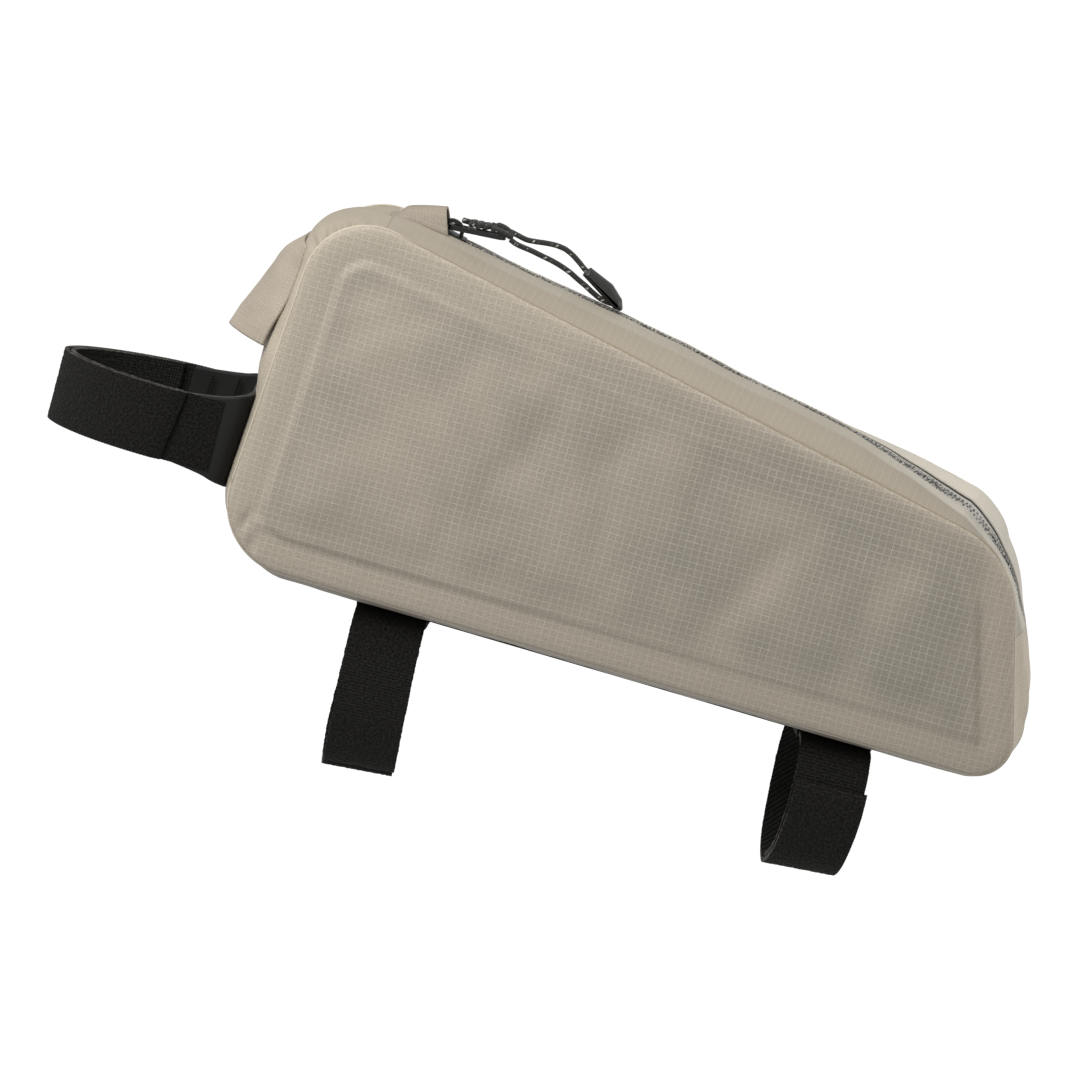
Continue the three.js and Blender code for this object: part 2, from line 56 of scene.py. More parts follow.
# %% Set the camera
TARGET = Vector((-26, -24, 36.2)) * MM
DISTANCE = 2.2
YAW, PITCH, ROLL = (math.radians(angle) for angle in (2.0, 10.5, 15.1))
LENS = 256.67


def set_camera():
    look = Vector((-math.sin(YAW) * math.cos(PITCH), math.cos(YAW) * math.cos(PITCH), -math.sin(PITCH)))
    level = Vector((math.cos(YAW), math.sin(YAW), 0))
    upright = level.cross(look)
    right = level * math.cos(ROLL) + upright * math.sin(ROLL)
    up = upright * math.cos(ROLL) - level * math.sin(ROLL)
    camera = bpy.data.objects.new("camera", bpy.data.cameras.new("camera"))
    camera.data.lens = LENS
    camera.data.clip_end = 300
    turn = Matrix((right, up, -look)).transposed().to_4x4()
    camera.matrix_world = Matrix.Translation(TARGET - look * DISTANCE) @ turn
    scene.collection.objects.link(camera)
    scene.camera = camera
    return camera


print("camera at", [round(c, 3) for c in set_camera().matrix_world.translation])

# %% [markdown]
# ## Studio
# A packshot has one large soft light and white all round. The world gives the white, a softbox high on
# the left gives the shading that falls off along the bag, and a wide pale floor lies well below,
# because a bicycle holds the bag up. The floor glows a little so that it is white in every view, and it
# throws no light back on the bag, whose shading would go flat. The Standard view keeps the cloth's
# colours as they are set.

# %% Light the studio
FLOOR_Z, FLOOR_SIZE = -3.0, 60
scene.view_settings.view_transform = "Standard"


def softbox(name, place, aim, size, power):
    lamp = bpy.data.lights.new(name, "AREA")
    lamp.shape = "RECTANGLE"
    lamp.size, lamp.size_y = size
    lamp.energy = power
    box = bpy.data.objects.new(name, lamp)
    box.location = place
    box.rotation_euler = (Vector(aim) - Vector(place)).to_track_quat("-Z", "Y").to_euler()
    scene.collection.objects.link(box)


softbox("key", (-0.46, -0.48, 0.56), (-0.02, 0, 0.05), (0.45, 0.45), 7.0)
softbox("top", (0.1, 0.3, 1.2), (0, 0, 0.05), (1.0, 0.6), 2.5)
softbox("rear", (0.9, 0.12, 0.4), (0.1, 0, 0.04), (0.6, 0.6), 4.0)

world = bpy.data.worlds.new("studio")
scene.world = world
world.use_nodes = True
world.node_tree.nodes["Background"].inputs["Color"].default_value = (1, 1, 1, 1)
world.node_tree.nodes["Background"].inputs["Strength"].default_value = 0.5

# %% [markdown]
# ## Shader maths as Python
# A finish is easier to read as an expression than as a list of links. `Wire` stands for a node's output
# and its operators add Math nodes; `Finish` holds one material and adds every other node through one
# method.

# %% Write materials as expressions


class Wire:
    """A node's output, whose operators add Math nodes to its material."""

    def __init__(self, finish, socket):
        self.finish = finish
        self.socket = socket

    def maths(self, operation, *values):
        return self.finish.node("ShaderNodeMath", {"operation": operation}, dict(enumerate(values)))

    def __add__(self, other):
        return self.maths("ADD", self, other)

    def __sub__(self, other):
        return self.maths("SUBTRACT", self, other)

    def __rsub__(self, other):
        return self.maths("SUBTRACT", other, self)

    def __mul__(self, other):
        return self.maths("MULTIPLY", self, other)

    def __truediv__(self, other):
        return self.maths("DIVIDE", self, other)

    __radd__ = __add__
    __rmul__ = __mul__

    def fold(self, half):
        """A triangle wave that is 0 at every second half step."""
        return self.maths("PINGPONG", self, half)

    def wave(self, step):
        """A sine wave from -1 to 1 with that step."""
        return self.maths("SINE", self * (2 * math.pi / step))

    def fade(self, zero, one):
        """0 where the value is at zero, 1 where it is at one, and smooth between."""
        sockets = {"Value": self, "From Min": zero, "From Max": one}
        return self.finish.node("ShaderNodeMapRange", {"interpolation_type": "SMOOTHSTEP"}, sockets)


class Finish:
    """One material: a Principled shader with its fixed values set on its own sockets."""

    def __init__(self, name, **fixed):
        self.material = bpy.data.materials.new(name)
        self.material.use_nodes = True
        self.tree = self.material.node_tree
        self.shader = self.tree.nodes["Principled BSDF"]
        self.feed(self.shader, {socket.replace("_", " "): value for socket, value in fixed.items()})

    def feed(self, node, sockets):
        for key, value in sockets.items():
            if isinstance(value, Wire):
                self.tree.links.new(value.socket, node.inputs[key])
            else:
                node.inputs[key].default_value = value

    def node(self, kind, settings=None, sockets=None, output=0):
        made = self.tree.nodes.new(kind)
        for setting, value in (settings or {}).items():
            setattr(made, setting, value)
        self.feed(made, sockets or {})
        return Wire(self, made.outputs[output])

    def cloth_map(self):
        """The piece's own flat map in millimetres, as a vector and its two numbers."""
        flat = self.node("ShaderNodeUVMap", {"uv_map": "cloth"})
        parts = self.node("ShaderNodeSeparateXYZ", None, {0: flat})
        return flat, parts, Wire(self, parts.socket.node.outputs[1])

    def spots(self, vector, size, detail=2.0, stretch=None, turn=0.0):
        """Noise from 0 to 1 with spots of about that size, stretched and turned if asked."""
        if stretch:
            sockets = {"Vector": vector, "Rotation": (0, 0, turn), "Scale": (*stretch, 1)}
            vector = self.node("ShaderNodeMapping", None, sockets)
        sockets = {"Vector": vector, "Scale": 1 / size, "Detail": detail}
        return self.node("ShaderNodeTexNoise", None, sockets)

    def mix(self, factor, first, second, blend="MIX"):
        colours = [c if isinstance(c, Wire) else (*c, 1) for c in (first, second)]
        settings = {"data_type": "RGBA", "blend_type": blend}
        return self.node("ShaderNodeMix", settings, {0: factor, 6: colours[0], 7: colours[1]}, 2)

    def attribute(self, name):
        return self.node("ShaderNodeAttribute", {"attribute_name": name}, None, "Fac")

    def bumped(self, height, depth):
        """A normal bent by a height from 0 to 1, that deep in millimetres."""
        sockets = {"Height": height, "Distance": depth * MM, "Strength": 1.0}
        return self.node("ShaderNodeBump", None, sockets)

    def done(self, **varying):
        self.feed(self.shader, {socket.replace("_", " "): value for socket, value in varying.items()})
        return self.material


def floor_finish():
    finish = Finish("pale_floor", Roughness=0.9, Emission_Strength=0.6)
    return finish.done(Base_Color=(0.95, 0.95, 0.95, 1), Emission_Color=(1, 1, 1, 1))


def lay_floor():
    bm = bmesh.new()
    bmesh.ops.create_grid(bm, x_segments=1, y_segments=1, size=FLOOR_SIZE)
    bmesh.ops.translate(bm, verts=bm.verts, vec=(0, 0, FLOOR_Z))
    mesh = bpy.data.meshes.new("floor")
    bm.to_mesh(mesh)
    bm.free()
    mesh.materials.append(floor_finish())
    floor = bpy.data.objects.new("floor", mesh)
    floor.visible_diffuse = False
    scene.collection.objects.link(floor)


lay_floor()

# %% [markdown]
# ## The bag's outline
# From the side the bag is four straight edges with rounded corners. A place on it is a number from 0 to
# 8: up the front, round the front top corner, along the top, round the rear, down, along the base and
# round to the front. The CAD solids have the same eight stretches, with a front bottom corner that is a
# little tighter, so a piece that is laid out by place lies on its solid.

# %% Lay out the outline
Corner = namedtuple("Corner", "x z radius")
CORNERS = (
    Corner(-117.2, 7.0, 20.4),
    Corner(-108.9, 115.0, 18.5),
    Corner(105.8, 68.7, 27.5),
    Corner(122.8, 3.6, 10.7),
)
Arc = namedtuple("Arc", "start end centre first sweep radius")
SEAM_HALF = 24.0
ZIP_FROM, ZIP_TO = 1.9, 4.2


def rounded(i):
    corners = (CORNERS[i], CORNERS[i - 1], CORNERS[(i + 1) % 4])
    here, before, after = (Vector((corner.x, corner.z)) for corner in corners)
    back = (before - here).normalized()
    on = (after - here).normalized()
    half = math.acos(back.dot(on)) / 2
    radius = CORNERS[i].radius
    centre = here + (back + on).normalized() * radius / math.sin(half)
    start = here + back * radius / math.tan(half)
    end = here + on * radius / math.tan(half)
    arm = start - centre
    return Arc(start, end, centre, math.atan2(arm.y, arm.x), math.pi - 2 * half, radius)


ARCS = [rounded(i) for i in range(4)]


def edge(place):
    """The outline's point and outward direction at a place, as x and z."""
    stretch = int(place) % 8
    part = place - int(place)
    if stretch % 2:
        arc = ARCS[(stretch + 1) // 2 % 4]
        angle = arc.first - arc.sweep * part
        out = Vector((math.cos(angle), math.sin(angle)))
        return arc.centre + out * arc.radius, out
    start = ARCS[stretch // 2].end
    stop = ARCS[(stretch // 2 + 1) % 4].start
    along = (stop - start).normalized()
    return start.lerp(stop, part), Vector((-along.y, along.x))


# %% [markdown]
# Places suit tables, but cloth is measured by length. These functions turn one into the other, so that
# the rows of a sheet spread evenly along edges and round corners alike.

# %% Measure along the outline


def stretch_length(stretch):
    """The length of one of the outline's eight stretches: even ones are edges, odd ones are corners."""
    if stretch % 2:
        arc = ARCS[(stretch + 1) // 2 % 4]
        return arc.radius * arc.sweep
    return (ARCS[(stretch // 2 + 1) % 4].start - ARCS[stretch // 2].end).length


LENGTHS = [stretch_length(stretch) for stretch in range(8)]


def run_of(place):
    """How far along the outline a place is, in millimetres from place 0."""
    whole = int(place)
    return sum(LENGTHS[i % 8] for i in range(whole)) + LENGTHS[whole % 8] * (place - whole)


def place_of(run):
    """The place that far along the outline."""
    stretch = 0
    while run > LENGTHS[stretch % 8]:
        run -= LENGTHS[stretch % 8]
        stretch += 1
    return stretch + run / LENGTHS[stretch % 8]


def between(first, last, part):
    """The place at that part of the way from one place to another, by length."""
    return place_of(run_of(first) + (run_of(last) - run_of(first)) * part)


print("outline", round(sum(LENGTHS), 1), "mm round")

# %% [markdown]
# Shapes and folds are eased. `fade` is a smooth step between two values, and `along` reads a
# short table as a smooth curve through its rows, so a few rows are enough for a long edge.

# %% Read tables smoothly


def clamp(value, low=0.0, high=1.0):
    return max(low, min(high, value))


def fade(value, zero, one):
    part = clamp((value - zero) / (one - zero))
    return part * part * (3 - 2 * part)


def along(rows, at):
    """The other columns of a table at a value of its first, on a smooth curve through the rows."""
    if at <= rows[0][0]:
        return rows[0][1:]
    if at >= rows[-1][0]:
        return rows[-1][1:]
    i = next(k for k, row in enumerate(rows) if row[0] >= at)
    ends = [rows[max(i - 2, 0)], rows[i - 1], rows[i], rows[min(i + 1, len(rows) - 1)]]
    gap = ends[2][0] - ends[1][0]
    t = (at - ends[1][0]) / gap
    values = []
    for c in range(1, len(rows[0])):
        leave = (ends[2][c] - ends[0][c]) / max(ends[2][0] - ends[0][0], 1e-9) * gap
        reach = (ends[3][c] - ends[1][c]) / max(ends[3][0] - ends[1][0], 1e-9) * gap
        rise = ends[2][c] - ends[1][c]
        bend = 3 * rise - 2 * leave - reach
        twist = leave + reach - 2 * rise
        values.append(ends[1][c] + leave * t + bend * t**2 + twist * t**3)
    return values


# %% [markdown]
# ## Sheets of cloth
# Every soft wall here is one sheet: a grid from `create_grid` whose points a function moves to their
# place, and a Solidify modifier that gives it thickness. The grid's own squares become a flat map in
# millimetres, which the weave follows round every bend, as real cloth does.

# %% Make sheets and pieces


def piece(bm, name, finishes, slot, *nodes):
    """Turns a bmesh into a smooth piece that rides on the part and stands for some CAD nodes."""
    mesh = bpy.data.meshes.new(name)
    bm.to_mesh(mesh)
    bm.free()
    mesh.shade_smooth()
    made = bpy.data.objects.new(name, mesh)
    scene.collection.objects.link(made)
    for finish in finishes:
        mesh.materials.append(finish)
    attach(made, "root")
    if nodes:
        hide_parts(*nodes)
    print(name, len(mesh.polygons), "faces")
    return made


def sheet(columns, rows, place, flat, inside, wrapped=False):
    """A grid with its points at place(u, v) and the map flat(u, v), facing away from a point inside."""
    bm = bmesh.new()
    cloth = bm.loops.layers.uv.new("cloth")
    bmesh.ops.create_grid(bm, x_segments=columns, y_segments=rows, size=0.5)
    for face in bm.faces:
        for loop in face.loops:
            loop[cloth].uv = flat(loop.vert.co.x + 0.5, loop.vert.co.y + 0.5)
    for vert in bm.verts:
        vert.co = place(vert.co.x + 0.5, vert.co.y + 0.5) * MM
    if wrapped:
        bmesh.ops.remove_doubles(bm, verts=bm.verts, dist=1e-7)
    bm.normal_update()
    facing = sum((face.calc_center_median() - inside * MM).dot(face.normal) for face in bm.faces)
    if facing < 0:
        bmesh.ops.reverse_faces(bm, faces=bm.faces)
    return bm


def thicken(made, thick, inner=0, rim=0):
    """Thickens a sheet inwards, with other finishes on its inner face and its rim if asked."""
    wall = made.modifiers.new("thickness", "SOLIDIFY")
    wall.thickness = thick * MM
    wall.offset = -1
    wall.use_even_offset = False
    wall.material_offset = inner
    wall.material_offset_rim = rim
    return made


MIDDLE = Vector((0, 0, 50))

# %% [markdown]
# ## Ripstop
# The laminate is a thin milky cloth: a grey-brown ground with a grid of thicker, paler yarns. The grid
# comes from triangle waves on the flat map, bent a little by noise because no cloth is woven quite
# straight. On the panels the foam behind shows through in soft grey patches, which the mesh carries as
# an attribute, and these patches also hold painted light and shade: the lit and shaded sides of the
# cloth's slack waves, and a painted falloff of the light towards the rear. The single cloth of the
# gusset and the flaps lets more light through, so it is paler and its patches are plain noise.

# %% Finish the ripstop
YARN_ALONG, YARN_UP = 2.19, 1.88
YARN_HALF = 0.18


def ripstop(name, ground, grey, yarn, yarn_show, padded=False, dusk=0.0):
    """Ripstop of three colours; dusk is how far it darkens along the base, which no lamp reaches."""
    finish = Finish(name, Roughness=0.6, Specular_IOR_Level=0.3)
    flat, u, v = finish.cloth_map()
    low = u.fade(run_of(5.2), run_of(5.9)) * u.fade(run_of(7.6), run_of(7.1))
    front = u.fade(run_of(8.9), run_of(9.3))
    weave = finish.spots(flat, 0.5, 3.0).fade(0.3, 0.7)
    worn = finish.spots(flat, 4.5, 2.0).fade(0.3, 0.62)
    u = u + finish.spots(flat, 22, 1.0) * 1.4
    v = v + finish.spots(flat, 30, 1.0) * 1.4
    yarns = u.fold(YARN_ALONG / 2).fade(YARN_HALF, 0.08)
    yarns_up = v.fold(YARN_UP / 2).fade(YARN_HALF, 0.08)
    grid = yarns.maths("MAXIMUM", yarns, yarns_up) * (0.3 + 0.9 * weave) * (0.5 + 0.5 * worn)
    # on the panels the shade attribute holds patches that are partly painted light and shade
    patches = finish.attribute("shade") if padded else finish.spots(flat, 17, 2.0).fade(0.35, 0.68)
    base = finish.mix(patches, ground, grey)
    base = finish.mix(weave * 0.34, base, (0.1, 0.088, 0.07))
    base = finish.mix(grid * yarn_show, base, yarn)
    base = finish.mix(low * dusk, base, (0.21, 0.188, 0.156))
    base = finish.mix(front * dusk * 0.85, base, (0.305, 0.264, 0.205))
    height = grid * 0.6 + weave * 0.3
    return finish.done(Base_Color=base, Normal=finish.bumped(height, 0.1))


PANEL_FINISH = ripstop(
    "padded_ripstop", (0.394, 0.344, 0.272), (0.27, 0.243, 0.196), (0.52, 0.478, 0.405), 0.6, padded=True
)
BAND_FINISH = ripstop(
    "gusset_ripstop", (0.495, 0.43, 0.335), (0.42, 0.37, 0.29), (0.56, 0.5, 0.405), 0.35, dusk=0.9
)
HOOD_FINISH = ripstop(
    "hood_ripstop", (0.41, 0.352, 0.279), (0.362, 0.313, 0.249), (0.47, 0.418, 0.34), 0.4
)
GARAGE_FINISH = ripstop(
    "garage_ripstop", (0.31, 0.264, 0.208), (0.272, 0.234, 0.186), (0.38, 0.335, 0.272), 0.45
)

# %% [markdown]
# ## Side panels
# Each side is laminate over a foam pad. The sheet rolls in at its seam, and the pad starts some 10 mm
# inside it with a soft step that catches the light. The grid is spread between the four edges of the
# outline, and the distance in from the seam then sets how far each point stands out.

# %% Shape the side panels
PANEL_SEAT = 25.5  # from the middle plane to the panel's outer face at the seam
PANEL_RISE = (
    # inset, rise over a sharp pad edge, rise over a soft one
    (0.0, -0.7, -0.7),
    (0.4, -0.1, -0.1),
    (1.2, 0.35, 0.35),
    (3.5, 0.75, 0.9),
    (6.0, 0.85, 1.35),
    (8.6, 0.85, 1.7),
    (9.8, 1.05, 1.85),
    (10.9, 2.05, 2.05),
    (11.7, 2.4, 2.2),
    (15.0, 2.5, 2.4),
    (22.0, 2.75, 2.75),
    (34.0, 3.0, 3.0),
    (60.0, 3.2, 3.2),
)
SHARP_FRONT, SHARP_REAR = 1.0, 0.9
OUTS = [edge(2 * i + 0.5)[1] for i in range(4)]


def turn(a, b):
    """Above zero where b lies anticlockwise of a."""
    return a.x * b.y - a.y * b.x


def nearest_seam(x, z):
    """How far inside the outline a point of the side is, and the way out to the nearest seam."""
    point = Vector((x, z))
    deep, way = 1e9, None
    for i, arc in enumerate(ARCS):
        before, after = OUTS[i - 1], OUTS[i]
        arm = point - arc.centre
        if turn(before, arm) < 0 and turn(arm, after) < 0:
            return arc.radius - arm.length, arm.normalized()
        gap = (arc.end - point).dot(after)
        if gap < deep:
            deep, way = gap, after
    return deep, way


def rise_at(x, z):
    """How far the panel stands out over its seam, more sharply where the pad's edge shows."""
    deep, way = nearest_seam(x, z)
    sharp, soft = along(PANEL_RISE, max(deep, 0))
    level = SHARP_FRONT if way.x < 0 else SHARP_REAR
    upright = 0.1 + 0.8 * fade(x, -45, -90) if way.y > 0 else 0.25 + 0.4 * fade(x, 40, -70)
    share = level * way.x**2 + upright * way.y**2
    return soft + (sharp - soft) * share


def crowd(part):
    """Moves a part of the way closer to the nearer end, so that rows lie denser at the seams."""
    return part - 0.62 * math.sin(2 * math.pi * part) / (2 * math.pi)


def on_side(u, v):
    """The point of the side at those parts of the way from front to rear and from base to top."""
    u, v = crowd(u), crowd(v)
    front = edge(between(7.5, 9.5, v))[0]
    rear = edge(between(5.5, 3.5, v))[0]
    base = edge(between(7.5, 5.5, u))[0]
    top = edge(between(1.5, 3.5, u))[0]
    corners = [edge(place)[0] for place in (7.5, 5.5, 1.5, 3.5)]
    low = corners[0].lerp(corners[1], u)
    high = corners[2].lerp(corners[3], u)
    return front.lerp(rear, u) + base.lerp(top, v) - low.lerp(high, v)


# %% [markdown]
# The laminate is a little larger than the foam under it, so it lies in slack waves. A flat copy of the
# panel is simulated for that: cloth that has grown by a part of a percent, pinned along the edge of the
# pad, lying under its own weight. Only its sag is kept, as a field that the fine sheet reads later, so
# no Cloth modifier stays behind.

# %% Let the cloth go slack
PAD_EDGE = 11.0
SLACK_FRAMES = 24
SLACK_GRID = 72, 34


def slack_field(sign):
    """The settled points of slack cloth on one side, as x, z and sag in millimetres."""
    lift = [0.3 * noise.noise(Vector((k * 0.37, sign * 9.1, 0.5))) for k in range(4000)]
    bm = sheet(*SLACK_GRID, lambda u, v: Vector((*on_side(u, v), 0)), on_side, Vector((0, 50, -90)))
    for vert in bm.verts:
        vert.co.z = lift[vert.index] * MM
    mesh = bpy.data.meshes.new("slack_sheet")
    bm.to_mesh(mesh)
    bm.free()
    cloth = bpy.data.objects.new("slack_sheet", mesh)
    scene.collection.objects.link(cloth)
    pins = cloth.vertex_groups.new(name="pins")
    held = [v.index for v in mesh.vertices if nearest_seam(v.co.x / MM, v.co.y / MM)[0] < PAD_EDGE]
    pins.add(held, 1.0, "REPLACE")
    settings = cloth.modifiers.new("cloth", "CLOTH").settings
    settings.quality = 6
    settings.mass = 0.02
    settings.tension_stiffness = settings.compression_stiffness = 30
    settings.bending_stiffness = 0.6
    settings.vertex_group_mass = "pins"
    settings.shrink_min = -0.012
    for step in range(1, SLACK_FRAMES + 1):
        scene.frame_set(step)
    settled = cloth.evaluated_get(bpy.context.evaluated_depsgraph_get()).data
    points = [(v.co.x / MM, v.co.y / MM, v.co.z / MM) for v in settled.vertices]
    scene.frame_set(1)
    bpy.data.objects.remove(cloth)
    return points


def waves(points):
    """A tree of the settled points and each one's sag against the mean sag near it, in millimetres."""
    tree = kdtree.KDTree(len(points))
    for i, (x, z, _) in enumerate(points):
        tree.insert((x, z, 0), i)
    tree.balance()
    wave = []
    for x, z, sag in points:
        near = tree.find_range((x, z, 0), 26)
        wave.append(sum(points[i][2] for _, i, _ in near) / len(near) - sag)
    return tree, wave


SLACK = {}
for sign in (-1, 1):
    SLACK[sign] = waves(slack_field(sign))
    if SLACK[sign]:
        print("slack waves of", round(max(SLACK[sign][1]), 2), "mm on side", sign)


def slack_at(sign, x, z):
    """The slack wave at a point of the side, smoothed between the simulated points."""
    if SLACK[sign] is None:
        return 0.5 * noise.noise(Vector((x / 19, z / 31, 5 * sign)))
    tree, wave = SLACK[sign]
    near = [(math.exp(-((gap / 3.6) ** 2)), i) for _, i, gap in tree.find_n((x, z, 0), 9)]
    return sum(weight * wave[i] for weight, i in near) / sum(weight for weight, i in near)


# %% [markdown]
# The panels show where the foam touches the cloth: grey where it does, warm and paler where it lies
# loose and along the edges. The patches are partly painted light and shade too: the lit and shaded
# sides of the cloth's slack waves, and a painted falloff of the light that greys the cloth towards the
# rear. The near side has its patches listed, each a soft oval, and the far side takes them from noise.

# %% Shade the side panels
# The near panel's patches: partly the foam's grey, partly painted light and shade of the cloth's waves.
PATCHES = (
    # x, z, reach along, reach up, grey above zero and pale below
    (-83, 82, 9, 11, -0.5),
    (-67, 62, 10, 12, -0.6),
    (-78, 48, 11, 8, -0.6),
    (-54, 75, 9, 8, -0.35),
    (-38, 54, 14, 12, -0.3),
    (4, 62, 7, 14, -0.5),
    (-14, 49, 8, 12, -0.4),
    (41, 51, 7, 12, -0.55),
    (38, 35, 6, 9, -0.45),
    (29, 22, 7, 6, -0.4),
    (76, 49, 7, 9, -0.6),
    (73, 20, 6, 7, -0.5),
    (47, 20, 5, 6, -0.4),
    (-91, 62, 6, 14, 0.4),
    (-43, 73, 7, 8, 0.25),
    (-17, 72, 9, 9, 0.3),
    (21, 69, 7, 9, 0.5),
    (14, 47, 8, 11, 0.5),
    (3, 33, 9, 7, 0.35),
    (42, 28, 5, 9, 0.5),
    (66, 61, 8, 8, 0.45),
    (88, 52, 6, 10, 0.6),
    (84, 29, 7, 10, 0.55),
    (59, 26, 5, 9, 0.5),
    (101, 30, 5, 18, 0.35),
    (29, 74, 20, 8, 0.55),
)
DENTS = (
    # x, z, reach along, reach across, slant in degrees, rise
    (-108.8, 19.2, 1.6, 3.4, -15, -0.85),
    (-105.3, 13.4, 1.5, 3.2, 10, -0.8),
    (-104.2, 19.5, 3.2, 1.4, -13, 0.55),
)


def pressed(marks, x, y):
    """What a table of marks adds at a point: each mark is a slanted oval, deepest in its middle."""
    total = 0.0
    for at_x, at_y, reach, across, slant, depth in marks:
        arm = Vector((x - at_x, y - at_y))
        arm.rotate(Matrix.Rotation(-math.radians(slant), 2))
        total += depth * math.exp(-((arm.x / reach) ** 2) - (arm.y / across) ** 2)
    return total


def shade_of(sign, x, z):
    """How grey the cloth is at a point of the side, from 0 to 1, partly painted light and shade."""
    deep, way = nearest_seam(x, z)
    flush = fade(way.y, 0.5, 0.9) * fade(x, -60, -10)  # along the top the foam reaches the seam
    here = Vector((x / 24, z / 30, 3 * sign))
    patchy = 0.45 * noise.noise(here) + 0.3 * noise.noise(here * 2.6)
    # the listed patches, partly painted light and shade
    if sign < 0:
        for px, pz, reach, up, depth in PATCHES:
            patchy += depth * math.exp(-(((x - px) / reach) ** 2) - ((z - pz) / up) ** 2)
    # painted shade: the light's falloff along the bag, greyer towards the rear
    patchy += 0.35 * fade(x, -30, 70)
    inner = fade(deep, 5 - 8 * flush, 15 - 9 * flush) * (0.46 + 0.55 * patchy)
    return clamp(inner + 0.14 * fade(deep, 0, 3))


# %% [markdown]
# The fine sheet puts it all together: the rise over the seam, the slack, a little fine unevenness and
# the dents. A panel's shading goes into the mesh as an attribute.

# %% Sew up the side panels
PANEL_GRID = 220, 110


def panel_point(sign):
    def place(u, v):
        point = on_side(u, v)
        slack = slack_at(sign, *point) * 0.55 * fade(nearest_seam(*point)[0], 9, 24)
        fine = 0.12 * noise.noise(Vector((point.x / 9, point.y / 13, 4 * sign)))
        rise = rise_at(*point) + clamp(slack, -0.9, 0.9) + fine
        if sign < 0:
            rise += pressed(DENTS, *point)
        return Vector((point.x, sign * (PANEL_SEAT + rise), point.y))

    return place


def side_panel(sign, name, node):
    bm = sheet(*PANEL_GRID, panel_point(sign), on_side, MIDDLE)
    made = piece(bm, name, [PANEL_FINISH], "ripstop", node)
    shade = made.data.attributes.new("shade", "FLOAT", "POINT")
    for vert, value in zip(made.data.vertices, shade.data):
        value.value = shade_of(sign, vert.co.x / MM, vert.co.z / MM)
    return thicken(made, 1.0)


side_panel(-1, "near_panel", "side_panel_left")
side_panel(1, "far_panel", "side_panel_right")

# %% [markdown]
# ## Gusset
# One band closes the front, the base and the rear. It swells between its seams, and at the tight front
# top corner it is gathered in small pleats. Its sheet is laid out by place along the outline and by y
# across it.

# %% Shape the gusset
SWELL = (
    # place, bulge, squareness
    (0.0, 2.6, 4.0),
    (0.3, 2.75, 4.0),
    (0.4, 3.4, 4.0),
    (0.5, 4.7, 4.0),
    (0.6, 5.0, 4.0),
    (0.7, 4.5, 4.0),
    (0.8, 3.6, 3.5),
    (0.9, 3.3, 3.2),
    (1.0, 3.4, 3.0),
    (1.1, 4.4, 3.0),
    (1.2, 4.8, 3.0),
    (1.3, 4.4, 3.0),
    (1.4, 3.4, 3.0),
    (1.5, 2.4, 3.0),
    (1.6, 1.6, 3.0),
    (1.7, 1.0, 2.8),
    (1.8, 0.9, 2.7),
    (1.9, 1.3, 2.5),
    (2.0, 2.3, 2.4),
    (2.1, 3.4, 2.2),
    (2.2, 3.9, 2.0),
    (2.3, 4.8, 2.1),
    (2.4, 5.6, 2.2),
    (2.5, 6.0, 2.5),
    (2.6, 5.7, 2.8),
    (2.7, 6.5, 3.0),
    (2.8, 7.0, 3.2),
    (2.9, 7.7, 3.2),
    (3.0, 7.6, 3.1),
    (3.1, 7.0, 3.0),
    (3.2, 6.0, 3.0),
    (3.3, 5.0, 3.0),
    (3.4, 3.8, 3.0),
    (3.5, 2.3, 3.0),
    (3.6, 1.9, 3.0),
    (3.8, 1.5, 3.0),
    (4.0, 1.6, 3.0),
    (4.2, 2.6, 3.0),
    (4.4, 3.6, 3.0),
    (4.6, 4.4, 3.0),
    (4.8, 3.9, 3.0),
    (5.0, 2.8, 3.5),
    (5.2, 1.5, 4.0),
    (5.4, 0.9, 4.0),
    (5.6, 1.7, 4.0),
    (5.8, 2.2, 4.0),
    (6.0, 3.2, 3.2),
    (6.1, 4.0, 2.7),
    (6.3, 4.1, 2.7),
    (6.5, 4.2, 2.7),
    (6.6, 3.9, 2.7),
    (6.8, 4.1, 3.0),
    (6.9, 4.2, 3.4),
    (7.0, 3.9, 3.8),
    (7.15, 2.6, 4.0),
    (7.3, 0.9, 4.0),
    (7.45, 0.3, 4.0),
    (7.6, 1.3, 4.0),
    (7.8, 2.2, 4.0),
    (8.0, 2.6, 4.0),
)
ZIP_PULL = (
    # place, how far the near strip and the zip are pulled in, how far the far strip falls away
    (2.0, 0.0, 0.0),
    (2.2, 0.0, 1.0),
    (2.4, 0.0, 1.5),
    (2.7, 0.0, 1.6),
    (2.8, 0.9, 0.5),
    (2.9, 3.6, 0.0),
    (3.0, 6.2, 0.0),
    (3.1, 6.8, 0.0),
    (3.2, 6.6, 0.0),
    (3.3, 6.0, 0.0),
    (3.4, 4.8, 0.0),
    (3.5, 3.3, 0.0),
    (3.6, 2.7, 0.0),
    (3.8, 1.8, 0.0),
    (4.0, 1.0, 0.0),
    (4.2, 0.2, 0.0),
    (4.4, 0.0, 0.0),
)
PLEATS = ((1.2, -1.1), (1.31, -1.4), (1.44, -1.5), (1.57, -1.3), (1.73, -0.8))
RUCKS = (
    # place, y, reach along, reach across, slant in degrees, rise
    (4.5, -19.5, 15, 2.4, 0, -0.8),
    (4.8, -12.0, 9, 2.4, 8, 0.7),
    (4.45, -13.0, 2.0, 7.0, 25, -0.5),
    (4.9, -15.0, 1.8, 7.0, -20, -0.6),
    (5.1, -16.0, 1.5, 6.0, 15, -0.5),
)
GUSSET_GRID = 860, 46
RUCK_MARKS = [(run_of(place), *mark) for place, *mark in RUCKS]


